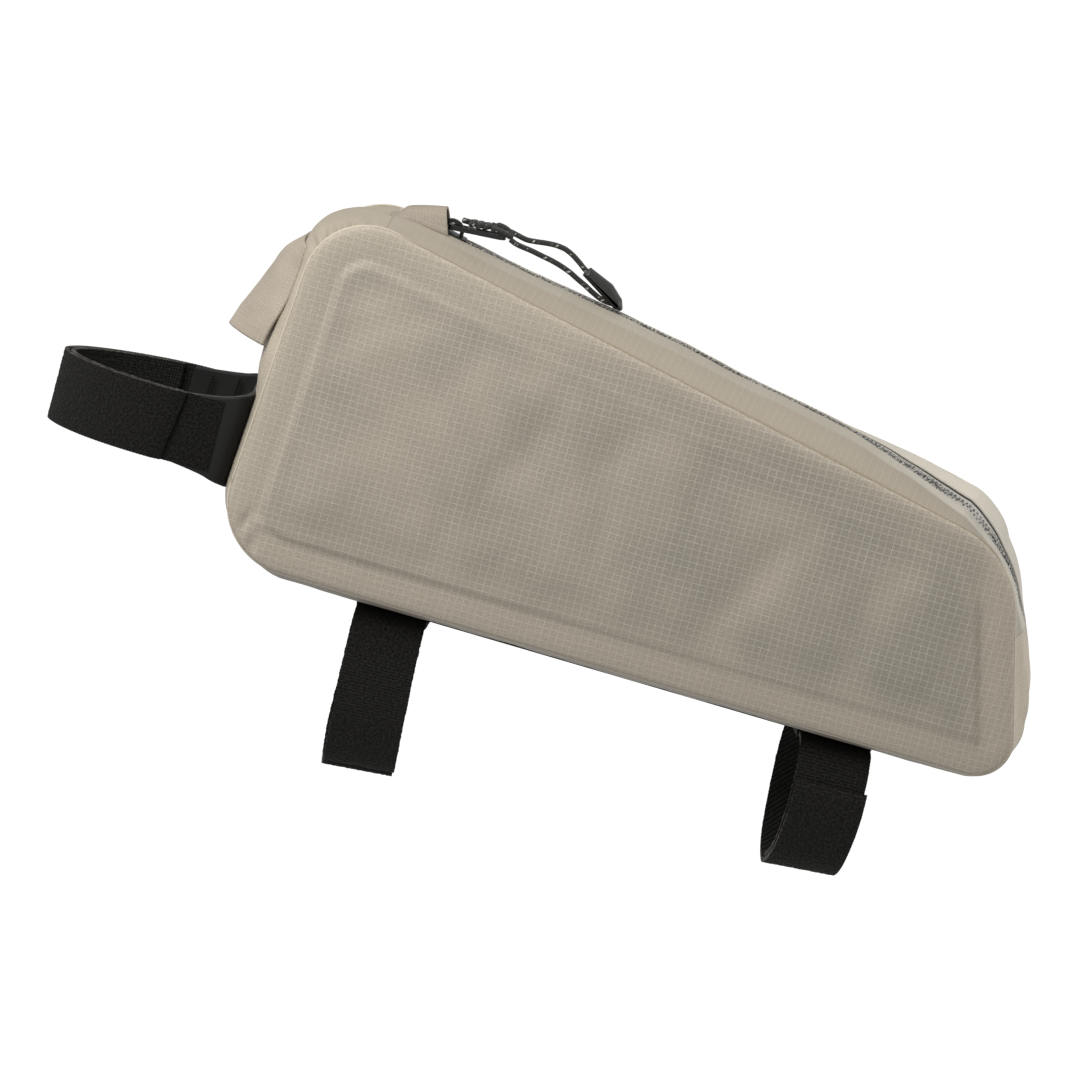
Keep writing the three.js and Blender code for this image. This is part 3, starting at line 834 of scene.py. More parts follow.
def on_band(place, y, lift=0.0):
    """A point of the band's outer face, lifted off it."""
    point, out = edge(place)
    bulge, square = along(SWELL, place % 8)
    pull, fall = along(ZIP_PULL, place % 8)
    across = abs(y / SEAM_HALF)
    swell = bulge * (1 - across**square) + lift
    swell -= pull * fade(y, 13, -4) * (1 - across**3) + fall * fade(y, 2, 13) * (1 - across**4)
    return Vector((point.x + out.x * swell, y, point.y + out.y * swell))


def crumple(place, y):
    """Folds of the band: pleats at the front top corner and slack everywhere."""
    run = run_of(place)
    side = abs(y) / SEAM_HALF
    pleat = 0.0
    for at, depth in PLEATS:
        pleat += depth * math.exp(-(((place - at - 0.05 * (1 - side)) / 0.033) ** 2))
    slack = 0.45 * noise.noise(Vector((run / 17, y / 12, 3.0)))
    slack += 0.2 * noise.noise(Vector((run / 6, y / 9, 8.0)))
    folds = pleat * fade(side, 0.5, 0.85) * fade(side, 1.0, 0.96) + pressed(RUCK_MARKS, run, y)
    return folds + slack * (1 - side**4)


def band(columns, rows, first, last, low, high, lift=0.0):
    """A sheet on the band between two places and two distances from the middle plane."""

    def place(u, v):
        at = between(first, last, u)
        y = low + (high - low) * v
        return on_band(at, y, lift + crumple(at % 8, y))

    def flat(u, v):
        return (run_of(first) + (run_of(last) - run_of(first)) * u, low + (high - low) * v)

    return sheet(columns, rows, place, flat, MIDDLE)


gusset_cloth = band(*GUSSET_GRID, ZIP_TO, ZIP_FROM + 8, -SEAM_HALF, SEAM_HALF)
thicken(piece(gusset_cloth, "gusset_band", [BAND_FINISH], "ripstop", "gusset"), 1.0)

# %% [markdown]
# ## Zip
# Two smooth strips of laminate carry the zip. Their edges are folded along it and stand a little proud,
# the tape lies sunk between them, and the coil's teeth are small beads set across it in two rows.

# %% Finish the zip


def laminate(name, painted_lighting):
    finish = Finish(name, Roughness=0.5, Specular_IOR_Level=0.4)
    flat, u, v = finish.cloth_map()
    weave = finish.spots(flat, 0.5, 3.0)
    ribs = (u + finish.spots(flat, 15) * 1.2).fold(YARN_ALONG / 2).fade(0.3, 0.05)
    bonded = v.maths("ABSOLUTE", v).fade(13.5, 11.0)
    base = finish.mix(bonded, (0.305, 0.263, 0.202), (0.345, 0.313, 0.252))
    base = finish.mix(ribs * (0.24 * weave + 0.04), base, (0.45, 0.42, 0.355))
    base = finish.mix(weave.fade(0.35, 0.65) * 0.2, base, (0.12, 0.105, 0.085))
    base = finish.mix(u.fade(run_of(2.12), run_of(1.9)), base, (0.305, 0.264, 0.206))
    # Painted highlight: the strips are paler beside the zip from the middle of the top round the rear
    # top corner.
    base = finish.mix(bonded * u.fade(run_of(2.7), run_of(3.1)) * 0.6, base, (0.52, 0.485, 0.42))
    base = finish.mix(finish.spots(flat, 9).fade(0.45, 0.8) * 0.3, base, (0.265, 0.236, 0.19))
    # Painted light: this last mix pales the whole strip; the far strip takes it because its side faces
    # away from the key light.
    base = finish.mix(painted_lighting, base, (0.5, 0.46, 0.39))
    return finish.done(Base_Color=base, Normal=finish.bumped(weave * 0.5 + ribs * 0.3, 0.08))


def tape():
    finish = Finish("zip_tape", Roughness=0.55)
    flat, u, v = finish.cloth_map()
    side = v.maths("ABSOLUTE", v)
    base = finish.mix(finish.spots(flat, 0.6, 3.0), (0.3, 0.286, 0.25), (0.42, 0.4, 0.36))
    # Painted shadow: the tape is near black along both its edges, in the gaps under the strips' folded
    # edges.
    base = finish.mix(side.fade(2.4, 2.55), base, (0.012, 0.012, 0.011))
    return finish.done(Base_Color=base)


def coil():
    finish = Finish("zip_coil", Roughness=0.4)
    spots = finish.spots(finish.node("ShaderNodeTexCoord", None, None, "Object"), 0.9 * MM)
    worn = spots.fade(0.45, 0.62)
    return finish.done(Base_Color=finish.mix(worn, (0.035, 0.034, 0.03), (0.34, 0.325, 0.29)))


# %% [markdown]
# The strips are sheets on the band, like the gusset, from the zip's edge out to the seam. At the front
# they run out into the gusset, so their folded edge fades away there.

# %% Lay the strips and the tape
ZIP_EDGE = 3.3  # from the middle of the zip to a strip's folded edge
TAPE_LIFT = -0.15  # the tape lies sunk below the strips
STRIP_GRID, TAPE_GRID = (230, 26), (230, 10)


def fold_lift(y):
    """How far a strip stands proud beside the zip."""
    return 0.2 * fade(abs(y), 5.5, 4.2)


def zip_strip(sign, name, node, finish):
    low, high = sorted((sign * ZIP_EDGE, sign * SEAM_HALF))

    def place(u, v):
        at = between(ZIP_FROM, ZIP_TO, u)
        y = low + (high - low) * v
        joined = fade(at, 2.1, ZIP_FROM)
        return on_band(at, y, (0.6 + 0.4 * joined) * crumple(at, y) + fold_lift(y) * (1 - joined))

    def flat(u, v):
        return (run_of(ZIP_FROM) + (run_of(ZIP_TO) - run_of(ZIP_FROM)) * u, low + (high - low) * v)

    made = piece(sheet(*STRIP_GRID, place, flat, MIDDLE), name, [finish], "zip_laminate", node)
    return thicken(made, 1.0)


zip_strip(-1, "near_zip_strip", "zip_strip_left", laminate("near_laminate", 0.0))
# The far strip's paler laminate is painted light.
zip_strip(1, "far_zip_strip", "zip_strip_right", laminate("far_laminate", 0.8))
tape_cloth = band(*TAPE_GRID, ZIP_FROM, ZIP_TO, -ZIP_EDGE, ZIP_EDGE, TAPE_LIFT)
thicken(piece(tape_cloth, "zip_band", [tape()], "zip", "zip_tape"), 0.8)

# %% [markdown]
# The teeth are small beads in two rows that lean into each other. Each takes its frame from the slope
# of the band under it, so that none sinks into the tape where the zip is pulled aside.

# %% Set the teeth
TOOTH_STEP = 1.3
TOOTH_HALF = (0.5, 1.2, 0.34)  # along the zip, across it and out
TOOTH_LEAN, TOOTH_OFF, TOOTH_NUDGE = 0.32, 0.85, 0.05
TOOTH_LIFT = -0.1
FIRST_TOOTH = 6  # those before it lie under the garage


def frame_at(place, lift):
    """A matrix on the zip's middle line: x along it, y across, z out."""
    point = on_band(place, 0, lift)
    ahead = on_band(place + 0.004, 0, lift) - on_band(place - 0.004, 0, lift)
    across = on_band(place, 2, lift) - on_band(place, -2, lift)
    x = ahead.normalized()
    z = x.cross(across).normalized()
    turn = Matrix((x, z.cross(x), z)).transposed().to_4x4()
    return Matrix.Translation(point * MM) @ turn


def zip_teeth():
    bm = bmesh.new()
    length = run_of(ZIP_TO) - run_of(ZIP_FROM)
    size = Matrix.Diagonal((*(half * MM for half in TOOTH_HALF), 1))
    for i in range(FIRST_TOOTH, int(length / TOOTH_STEP)):
        place = between(ZIP_FROM, ZIP_TO, i * TOOTH_STEP / length)
        for sign in (-1, 1):
            shift = Vector((TOOTH_LEAN * sign, TOOTH_OFF * sign + TOOTH_NUDGE, 0))
            at = frame_at(place, TOOTH_LIFT) @ Matrix.Translation(shift * MM) @ size
            bmesh.ops.create_uvsphere(bm, u_segments=8, v_segments=5, radius=1, matrix=at)
    return piece(bm, "zip_teeth", [coil()], "zip")


zip_teeth()

# %% [markdown]
# ## Hood and garage
# A hood on the front keeps rain off the cable port, and a smaller one over the front end of the zip
# hides the parked slider. Both are arched flaps of ripstop whose height comes from a short table.

# %% Shape the hood and the garage
HOOD = ((0.6, 11.9), (0.8, 9.4), (1.0, 5.4), (1.06, 3.0), (1.1, 1.4), (1.14, 0.0))
HOOD_HALF = 18.5
GARAGE = ((1.8333, 0.0), (1.9, 0.4), (1.98, 1.8), (2.03, 4.6), (2.0728, 6.9))
GARAGE_HALF = 6.0
GARAGE_SET_BACK = 0.024  # how much earlier, by place, the mouth's top ends


def flap(rows, half, roundness, columns, laid, gape=0.0, set_back=0.0):
    """A flap that arches up from its long edges to a table's heights, with gaping edges if asked."""
    first, last = rows[0][0], rows[-1][0]

    def place(u, v):
        y = half * (2 * v - 1)
        arch = 1 - abs(y / half) ** roundness
        at = between(first, last - set_back * arch, u)
        height = along(rows, between(first, last, u))[0] * arch
        slack = 0.3 * noise.noise(Vector((at * 14, y / 7, 5.0)))
        foot = laid + gape * fade(u, 0.6, 0.0) * (1 - arch)
        return on_band(at, y, foot + height + slack * fade(arch, 0, 0.2))

    def flat(u, v):
        return (run_of(first) + (run_of(last) - run_of(first)) * u, half * 2.4 * (v - 0.5))

    return sheet(columns, 48, place, flat, MIDDLE)


hood_cloth = flap(HOOD, HOOD_HALF, 1.4, 44, 0.5, gape=1.4)
thicken(piece(hood_cloth, "cable_port_hood", [HOOD_FINISH], "ripstop", "port_hood"), 0.9)
garage_cloth = flap(GARAGE, GARAGE_HALF, 3.2, 36, 0.0, set_back=GARAGE_SET_BACK)
thicken(piece(garage_cloth, "slider_garage", [GARAGE_FINISH], "ripstop", "zip_garage"), 0.7)

# %% [markdown]
# ## Smooth lines
# Straps and cords follow a few given points. A centripetal spline goes through all of them without
# the loops that an even one makes at sharp turns. It is sampled densely and then walked by length.

# %% Run smooth lines through points


def smooth_line(points, closed=False, steps=24):
    """A dense line through the points, as the CAD solids have it."""
    points = [Vector(point) for point in points]
    if closed:
        ring = [points[-1], *points, points[0], points[1]]
    else:
        ring = [points[0] * 2 - points[1], *points, points[-1] * 2 - points[-2]]
    line = []
    for i in range(1, len(ring) - 2):
        p = ring[i - 1 : i + 3]
        t = [0.0]
        for a, b in zip(p, p[1:]):
            t.append(t[-1] + (b - a).length ** 0.5)
        for k in range(steps):
            at = t[1] + (t[2] - t[1]) * k / steps
            a = [p[j].lerp(p[j + 1], (at - t[j]) / (t[j + 1] - t[j])) for j in range(3)]
            b = [a[j].lerp(a[j + 1], (at - t[j]) / (t[j + 2] - t[j])) for j in range(2)]
            line.append(b[0].lerp(b[1], (at - t[1]) / (t[2] - t[1])))
    line.append(ring[-2])
    return line


class Walk:
    """A dense line that is walked by length."""

    def __init__(self, line):
        self.line = line
        self.marks = [0.0]
        for a, b in zip(line, line[1:]):
            self.marks.append(self.marks[-1] + (b - a).length)
        self.length = self.marks[-1]

    def point(self, part):
        """The point at that part of the length, and the direction there."""
        run = clamp(part) * self.length
        i = next(k for k in range(1, len(self.marks)) if self.marks[k] >= run - 1e-9)
        a, b = self.line[i - 1], self.line[i]
        share = (run - self.marks[i - 1]) / max(self.marks[i] - self.marks[i - 1], 1e-9)
        return a.lerp(b, share), (b - a).normalized()


# %% [markdown]
# ## Straps
# Hook-and-loop webbing is fuzzy on its loop side, ribbed where the loops are cut short, and has a twill
# of fine hooks on the other side. The fuzz is real relief on a dense grid, with finer fibres left to
# bump, and the woven edges are cut by small teeth.

# %% Finish the webbing
STRAP_WIDTH, STRAP_THICK = 20.8, 1.5
STRAP_PITCH = STRAP_THICK + 0.35


def webbing(name, ribs_low=1.0, ribs_high=2.0, painted_lighting=1.0):
    """Fuzzy webbing, ribbed between two heights of the part, in millimetres."""
    finish = Finish(name, Roughness=0.95, Specular_IOR_Level=0.1, Sheen_Weight=0.03)
    flat, u, v = finish.cloth_map()
    place = finish.node("ShaderNodeTexCoord", None, None, "Object")
    height = finish.node("ShaderNodeSeparateXYZ", None, {0: place}, 2) / MM
    ribbed = height.fade(ribs_low - 4, ribs_low + 2) * height.fade(ribs_high + 3, ribs_high - 2)
    tuft = finish.spots(flat, 0.75, 3.0).fade(0.32, 0.72)
    fibre = finish.spots(flat, 0.28, 4.0).fade(0.3, 0.75)
    ribs = u.wave(0.95) * 0.5 + 0.5
    sockets = {0: ribbed, 2: tuft * 0.7 + fibre * 0.3, 3: ribs * 0.4 + tuft * 0.6}
    relief = finish.node("ShaderNodeMix", {"data_type": "FLOAT"}, sockets)
    # A value below one darkens the fuzz: painted shade, which the head strap takes.
    base = finish.mix(relief * painted_lighting, (0.001, 0.001, 0.0009), (0.025, 0.0235, 0.0195))
    return finish.done(Base_Color=base, Normal=finish.bumped(relief, 0.5))


def hook_side(name, netted):
    """The hooks' side: a net of small cells, or plain twill."""
    finish = Finish(name, Roughness=0.85, Specular_IOR_Level=0.15)
    flat, u, v = finish.cloth_map()
    rising = (u + v).wave(1.7)
    cells = rising.maths("MULTIPLY", rising, (u - v).wave(1.7)) if netted else rising
    hooks = finish.spots(flat, 0.4, 2.0) * 0.3 + cells.fade(-0.6, 0.8) * 0.7
    base = finish.mix(hooks, (0.001, 0.001, 0.001), (0.02, 0.019, 0.0165))
    return finish.done(Base_Color=base, Normal=finish.bumped(hooks, 0.4))


def selvedge():
    """The woven edges are paler than the cut ends, which lie anywhere across the width."""
    finish = Finish("webbing_edge", Roughness=0.85, Specular_IOR_Level=0.2)
    flat, u, v = finish.cloth_map()
    woven = v.maths("ABSOLUTE", v).fade(STRAP_WIDTH / 2 - 0.4, STRAP_WIDTH / 2 - 0.2)
    pale = finish.mix(finish.spots(flat, 1.1).fade(0.35, 0.7), (0.02, 0.019, 0.017), (0.075, 0.07, 0.06))
    return finish.done(Base_Color=finish.mix(woven, (0.006, 0.006, 0.005), pale))


TWILL = hook_side("webbing_twill", False)
NET = hook_side("webbing_net", True)
SELVEDGE = selvedge()
# The head strap's fuzz is made darker: painted shade against the key light, which falls on it more
# strongly.
FUZZ = webbing("webbing_fuzz", painted_lighting=0.7)

# %% [markdown]
# A strap is a ribbon: a line, the direction of its width and the direction out of its face. Where it
# laps itself, each turn lies one thickness further out than the last.

# %% Make ribbons


def ribbon(line, out, side, rows, inside, slant=0.0, laid=(0.0, 0.0), fuzz=0.17):
    """A fuzzy strap along a dense line, with its outward and widthways directions at each point.

    Its first end is cut at a slant, and each end may lie down on the layer below, in millimetres.
    """
    marks = Walk(line)

    def place(u, v):
        cut = u + slant / marks.length * (1 - v) * fade(u, 0.25, 0.0)
        i = min(int(cut * (len(line) - 1)), len(line) - 2)
        part = cut * (len(line) - 1) - i
        run = cut * marks.length
        edge_share = fade(abs(v - 0.5), 0.44, 0.5)
        teeth = 0.05 * math.sin(2 * math.pi * run / 1.05) * edge_share
        across = (v - 0.5) * STRAP_WIDTH + teeth * (1 if v > 0.5 else -1)
        here = Vector((run, across, inside.x))
        nap = fuzz * (noise.noise(here / 0.8) + 0.6 * noise.noise(here / 0.42)) * (1 - 0.8 * edge_share)
        sunk = laid[0] * fade(u, 0.03, 0.0) + laid[1] * fade(u, 0.985, 1.0)
        point = line[i].lerp(line[i + 1], part) + side[i].lerp(side[i + 1], part) * across
        return point + out[i].lerp(out[i + 1], part) * (STRAP_THICK / 2 + nap - sunk)

    def flat(u, v):
        return (u * marks.length, (v - 0.5) * STRAP_WIDTH)

    return sheet(len(line) - 1, rows, place, flat, inside)


def even_line(count, point, outward):
    """A line of points with their outward directions, from two functions of a part of the way."""
    parts = [i / count for i in range(count + 1)]
    return [point(part) for part in parts], [outward(part) for part in parts]


# %% [markdown]
# The two base straps hang as loops from a tunnel between the base and its strip. Seen from the front
# each is a tall rounded drop, listed here once round from the near side. A hanging strap is never quite
# square: its low end is sheared a little, its far half swings aside, and the lapped end drifts off the
# turn below.

# %% Hang the base straps
FRONT_TOP_Z, REAR_TOP_Z = 0.6, -1.2
TUNNEL_TURN = 1.09
FRONT_STRAP = (
    (-62.2, -12, FRONT_TOP_Z),
    (-62.2, 0, FRONT_TOP_Z),
    (-62.2, 12, FRONT_TOP_Z),
    (-62.1, 16.2, -1.6),
    (-61.8, 16.6, -10),
    (-61.1, 12.5, -28),
    (-60.6, 6.4, -43),
    (-60.5, 0, -47.2),
    (-60.6, -6.4, -43),
    (-61.1, -12.5, -28),
    (-61.8, -16.6, -10),
    (-62.1, -16.2, -1.6),
)
REAR_STRAP = (
    (71.2, -12, REAR_TOP_Z),
    (69.2, 0, REAR_TOP_Z),
    (67.2, 12, REAR_TOP_Z),
    (66.2, 16.2, -2.8),
    (65.8, 17.0, -9),
    (66.4, 15.5, -22.5),
    (67.8, 9.0, -35),
    (69.8, 0, -39.6),
    (71.6, -9.0, -35),
    (72.6, -15.5, -22.5),
    (72.3, -17.0, -9),
    (71.7, -16.2, -2.8),
)
ALONG_BAG = Vector((1, 0, 0))
SHEAR = 0.085  # how far the low end's width tilts, for each unit of width


def base_strap(name, rows, start, turns, swing, drift, laid, node, finish):
    loop = Walk(smooth_line(rows, closed=True))
    low = min(row[2] for row in rows)

    def outward(part):
        direction = loop.point((start + turns * part) % 1)[1]
        return ALONG_BAG.cross(direction).normalized()

    def point(part):
        turn_at = start + turns * part
        here = loop.point(turn_at % 1)[0]
        aside = swing * fade(here.y, -4, 12) * fade(here.z, -1, -9) + drift * fade(part, 0.75, 1.0)
        return here + outward(part) * STRAP_PITCH * (turn_at - TUNNEL_TURN) + ALONG_BAG * aside

    def widthways(part):
        depth = loop.point((start + turns * part) % 1)[0].z / low
        return Vector((1, 0, SHEAR * clamp(depth)))

    count = int(loop.length * turns / 0.42)
    line, out = even_line(count, point, outward)
    side = [widthways(i / count) for i in range(count + 1)]
    middle = sum((Vector(row) for row in rows), Vector()) / len(rows)
    bm = ribbon(line, out, side, 50, middle, laid=(0.0, laid))
    made = piece(bm, name, [finish, TWILL, SELVEDGE], "webbing", node)
    return thicken(made, STRAP_THICK, 1, 2)


front_webbing = webbing("front_webbing", -30, -12)
base_strap("front_strap", FRONT_STRAP, 0.45, 1.13, -2.2, 0.0, 0.0, "front_base_strap", front_webbing)
rear_webbing = webbing("rear_webbing", -13, -3)
base_strap("rear_strap", REAR_STRAP, 0.62, 1.27, 0.0, 0.9, 1.1, "rear_base_strap", rear_webbing)

# %% [markdown]
# The head strap has two halves that lap round the head tube, on a rubber saddle glued to the front. Its
# loop is listed for the near half only and mirrored.

# %% Wrap the head strap
HEAD_LOOP = (
    (-121, -21.2, 40.0),
    (-133, -22.2, 40.0),
    (-143, -21.2, 39.8),
    (-152, -18.4, 39.5),
    (-161, -13.4, 39.2),
    (-168, -6.6, 39.0),
)
HEAD_TIP = (-170.6, 0, 38.9)
UP = Vector((0, 0, 1))
HEAD_MIDDLE = Vector((-140, 0, 39))


def mirrored(rows):
    return [(x, -y, *rest) for x, y, *rest in reversed(rows)]


head_loop = Walk(smooth_line([*HEAD_LOOP, HEAD_TIP, *mirrored(HEAD_LOOP)]))


def head_strap(name, first, last, layer, slant, node):
    def at(part):
        return first + (last - first) * part

    def outward(part):
        return UP.cross(head_loop.point(at(part))[1]).normalized()

    def point(part):
        level = layer - clamp((at(part) - 0.15) / 0.6)
        return head_loop.point(at(part))[0] + outward(part) * STRAP_PITCH * level

    line, out = even_line(int(head_loop.length * (last - first) / 0.42), point, outward)
    bm = ribbon(line, out, [UP] * len(line), 50, HEAD_MIDDLE, slant, laid=(slant / 4, 0.0))
    made = piece(bm, name, [FUZZ, NET, SELVEDGE], "webbing", node)
    return thicken(made, STRAP_THICK, 1, 2)


head_strap("inner_head_strap", 0.02, 0.83, 1, 0.0, "head_strap_near")
head_strap("outer_head_strap", 0.112, 0.98, 2, 3.0, "head_strap_far")

# %% [markdown]
# ## Rubber
# The saddle is a moulded pad that lies on the front and turns out into a wing on each side. The strip
# under the base is thinner and dips under each strap. Both are matte, with a finger-dry haze that only
# changes their roughness.

# %% Mould the rubber
Saddle = namedtuple("Saddle", "x y height")
SADDLE = (
    Saddle(-138.5, -21.9, 20),
    Saddle(-133, -22.2, 21),
    Saddle(-124, -21.5, 24),
    Saddle(-120.2, -20.4, 27),
    Saddle(-118.8, -17.2, 29),
    Saddle(-119.2, -9, 29),
)
SADDLE_MIDDLE = Saddle(-119.4, 0, 29)
SADDLE_THICK = 1.6
FRONT_LEAN = 0.079


def rubber(name, shine):
    finish = Finish(name, Specular_IOR_Level=shine)
    place = finish.node("ShaderNodeTexCoord", None, None, "Object")
    haze = finish.spots(place, 9 * MM, 3.0)
    grain = finish.spots(place, 0.35 * MM, 2.0)
    base = finish.mix(haze, (0.0035, 0.0034, 0.003), (0.007, 0.0067, 0.006))
    return finish.done(Base_Color=base, Roughness=0.5 + 0.2 * haze, Normal=finish.bumped(grain, 0.03))


def light_edge():
    finish = Finish("rubber_edge", Roughness=0.6)
    place = finish.node("ShaderNodeTexCoord", None, None, "Object")
    rim_mottle = finish.spots(place, 2 * MM)
    # The rims are paler than the rubber's faces, mottled.
    return finish.done(Base_Color=finish.mix(rim_mottle, (0.012, 0.0115, 0.01), (0.04, 0.038, 0.033)))


RUBBER = rubber("saddle_rubber", 0.22)
RUBBER_EDGE = light_edge()


def saddle():
    rows = [*SADDLE, SADDLE_MIDDLE, *(Saddle(*row) for row in mirrored(SADDLE))]
    line = smooth_line([(row.x, row.y, row.height) for row in rows], steps=14)
    lean = Vector((FRONT_LEAN, 0, 1)).normalized()
    spine = [Vector((point.x, point.y, HEAD_LOOP[0][2])) for point in line]

    def place(u, v):
        i = round(u * (len(line) - 1))
        ahead = spine[min(i + 1, len(line) - 1)] - spine[max(i - 1, 0)]
        face = UP.cross(ahead).normalized()
        return spine[i] + lean * (v - 0.5) * line[i].z - face * SADDLE_THICK / 2

    bm = sheet(len(line) - 1, 24, place, lambda u, v: (u * 90, v * 30), MIDDLE)
    made = piece(bm, "rubber_saddle", [RUBBER, RUBBER_EDGE], "rubber", "head_strap_saddle")
    return thicken(made, SADDLE_THICK, 0, 1)


saddle()

# %% [markdown]
# Rows of thread sew the strap to the saddle's wings. A stitch is a small bead here: at this size the
# twist of a thread doesn't show, and a bead has few faces.

# %% Sew the saddle
STITCH_STEP = 0.9
STITCH_HALF = (0.5, 0.45, 0.56)
STITCHES = (
    # x and y of a row, half its height, which way its face looks
    (-133.0, 21.3, 8.6, -1),
    (-125.2, 20.8, 10.0, -1),
    (-121.0, -22.3, 10.5, -1),
)


def stitches():
    """Rows of thread that sew the strap to the wings."""
    bm = bmesh.new()
    for x, y, half, face in STITCHES:
        count = round(half / STITCH_STEP)
        for i in range(-count, count + 1):
            height = STITCH_STEP * i
            point = Vector((x + FRONT_LEAN * height, y + 0.25 * face, HEAD_LOOP[0][2] + height))
            size = Matrix.Diagonal((*(half_side * MM for half_side in STITCH_HALF), 1))
            at = Matrix.Translation(point * MM) @ size
            bmesh.ops.create_uvsphere(bm, u_segments=8, v_segments=5, radius=1, matrix=at)
    return piece(bm, "saddle_stitches", [SELVEDGE], "webbing")


stitches()

# %% [markdown]
# The strip under the base is a thin sheet parallel to it. It dips under each strap, and because the
# rear strap crosses it askew, the distance to the strap's own slanted middle says where.

# %% Dip the strip under the straps
STRIP_FROM, STRIP_TO, STRIP_HALF = -82.0, 81.5, 7.0
STRIP_DIP, STRIP_RAMP, STRIP_THICK = 2.6, 0.6, 0.45
STRIP_SLOPE, STRIP_LEVEL = 0.01417, 36.0  # it runs parallel to the base and is at height 0 at that x


def base_strip():
    reach = STRAP_WIDTH / 2 + STRIP_RAMP / 2

    def strap_gap(rows, x, y):
        """How far x is from the middle of a strap that crosses the strip askew."""
        (near_x, near_y, _), (x_there, *_) = rows[:2]
        return abs(x - x_there - y * (near_x - x_there) / near_y)

    def place(u, v):
        x = STRIP_FROM + (STRIP_TO - STRIP_FROM) * u
        y = STRIP_HALF * (2 * v - 1)
        near = min(strap_gap(rows, x, y) for rows in (FRONT_STRAP, REAR_STRAP))
        drop = STRIP_DIP * fade(near, reach + STRIP_RAMP / 2, reach - STRIP_RAMP / 2)
        tuck = 0.8 * fade(x, STRIP_FROM + 8, STRIP_FROM)
        return Vector((x, y, STRIP_SLOPE * (STRIP_LEVEL - x) - drop + tuck))

    bm = sheet(500, 12, place, lambda u, v: (174 * u, 24 * v), MIDDLE)
    made = piece(bm, "strap_tunnel_strip", [rubber("strip_rubber", 0.03)], "rubber", "base_strip")
    return thicken(made, STRIP_THICK)


base_strip()

# %% [markdown]
# ## Pull cord
# A cord with pale flecks is doubled: its middle is tied to the slider's tab, and a moulded end holds
# both of its ends. Each strand is a tube along a route of its own: one runs down from the tab to the
# cord end, and the other runs back from the cord end to the tab in a higher curve.

# %% Run the pull cord
CORD_RADIUS = 0.8
LOWER_ROUTE = (
    (-57.6, -0.45, 114.1),
    (-56.7, -0.6, 113.7),
    (-55.7, -0.7, 113.35),
    (-54.6, -0.7, 113.1),
    (-53.0, -0.6, 112.85),
    (-51.1, -0.5, 112.6),
    (-47.5, -0.4, 111.9),
    (-44.4, -0.3, 111.3),
    (-41.5, -0.2, 110.5),
    (-38.5, -0.2, 109.4),
    (-35.8, -0.4, 108.1),
    (-33.3, -0.7, 107.0),
    (-30.6, -0.9, 105.6),
    (-28.1, -0.8, 104.5),
    (-25.8, -0.5, 104.0),
    (-23.9, -0.2, 103.9),
)
UPPER_ROUTE = (
    (-30.2, 0.2, 108.9),
    (-32.4, 0.2, 110.1),
    (-34.7, 0.2, 111.4),
    (-36.8, 0.4, 112.9),
    (-39.2, 0.6, 114.4),
    (-41.7, 0.9, 115.4),
    (-44.5, 1.2, 115.7),
    (-47.5, 1.5, 115.5),
    (-50.4, 1.8, 115.1),
    (-53.1, 2.0, 114.9),
    (-55.6, 1.9, 115.4),
    (-57.8, 1.75, 115.9),
    (-60.0, 1.7, 116.2),
    (-62.2, 1.5, 116.4),
    (-64.0, 1.2, 116.6),
)


def braid():
    finish = Finish("flecked_cord", Roughness=0.8, Sheen_Weight=0.15)
    flat, u, v = finish.cloth_map()
    plait = (u + v).wave(1.2) * (u - v).wave(1.2) * 0.5 + 0.5
    pair = (u + v * 0.6).fold(0.75).fade(0.3, 0.1) * u.fold(2.6).fade(1.2, 0.9)
    fleck = pair * v.fold(1.25).fade(0.5, 0.25) * finish.spots(flat, 2.2).fade(0.3, 0.6)
    base = finish.mix(plait, (0.003, 0.003, 0.0025), (0.018, 0.0165, 0.0125))
    base = finish.mix(fleck, base, (0.5, 0.48, 0.42))
    return finish.done(Base_Color=base, Normal=finish.bumped(plait, 0.18))


# %% [markdown]
# A tube is a sheet that is closed round its line. Each ring takes its directions from the last one,
# turned as little as the line turns, because rings that are set up one by one can twist the braid.

# %% Make the strands


def tube(line, radius, sides):
    """A round tube along a dense line, closed at both ends."""
    walk = Walk(line)
    normal = Vector((0, 1, 0))
    frames = []
    for i in range(len(line)):
        ahead = (line[min(i + 1, len(line) - 1)] - line[max(i - 1, 0)]).normalized()
        normal = (normal - ahead * normal.dot(ahead)).normalized()
        frames.append((normal.copy(), ahead.cross(normal)))

    def place(u, v):
        i = round(u * (len(line) - 1))
        first, second = frames[i]
        angle = 2 * math.pi * v
        end = min(i, len(line) - 1 - i)
        thin = radius(u) * (0.0 if end == 0 else 1.0)
        return line[i] + (first * math.cos(angle) + second * math.sin(angle)) * thin

    def flat(u, v):
        return (u * walk.length, v * 2 * math.pi * radius(0.5))

    bm = sheet(len(line) - 1, sides, place, flat, line[len(line) // 2], wrapped=True)
    bmesh.ops.recalc_face_normals(bm, faces=bm.faces)
    return bm


CORD = braid()


def strand(name, route, node):
    line = smooth_line(route, steps=10)
    made = piece(tube(line, lambda u: CORD_RADIUS, 14), name, [CORD], "cord", node)
    print(name, round(Walk(line).length, 1), "mm long")
    return made, line


lower_strand, lower_line = strand("lower_strand", LOWER_ROUTE, "pull_cord_lower")
upper_strand, upper_line = strand("upper_strand", UPPER_ROUTE, "pull_cord_upper")

# %% [markdown]
# The knot is the same cord: a cut tail, tight turns on top of the tab and a loop over the bar at the
# tab's end.

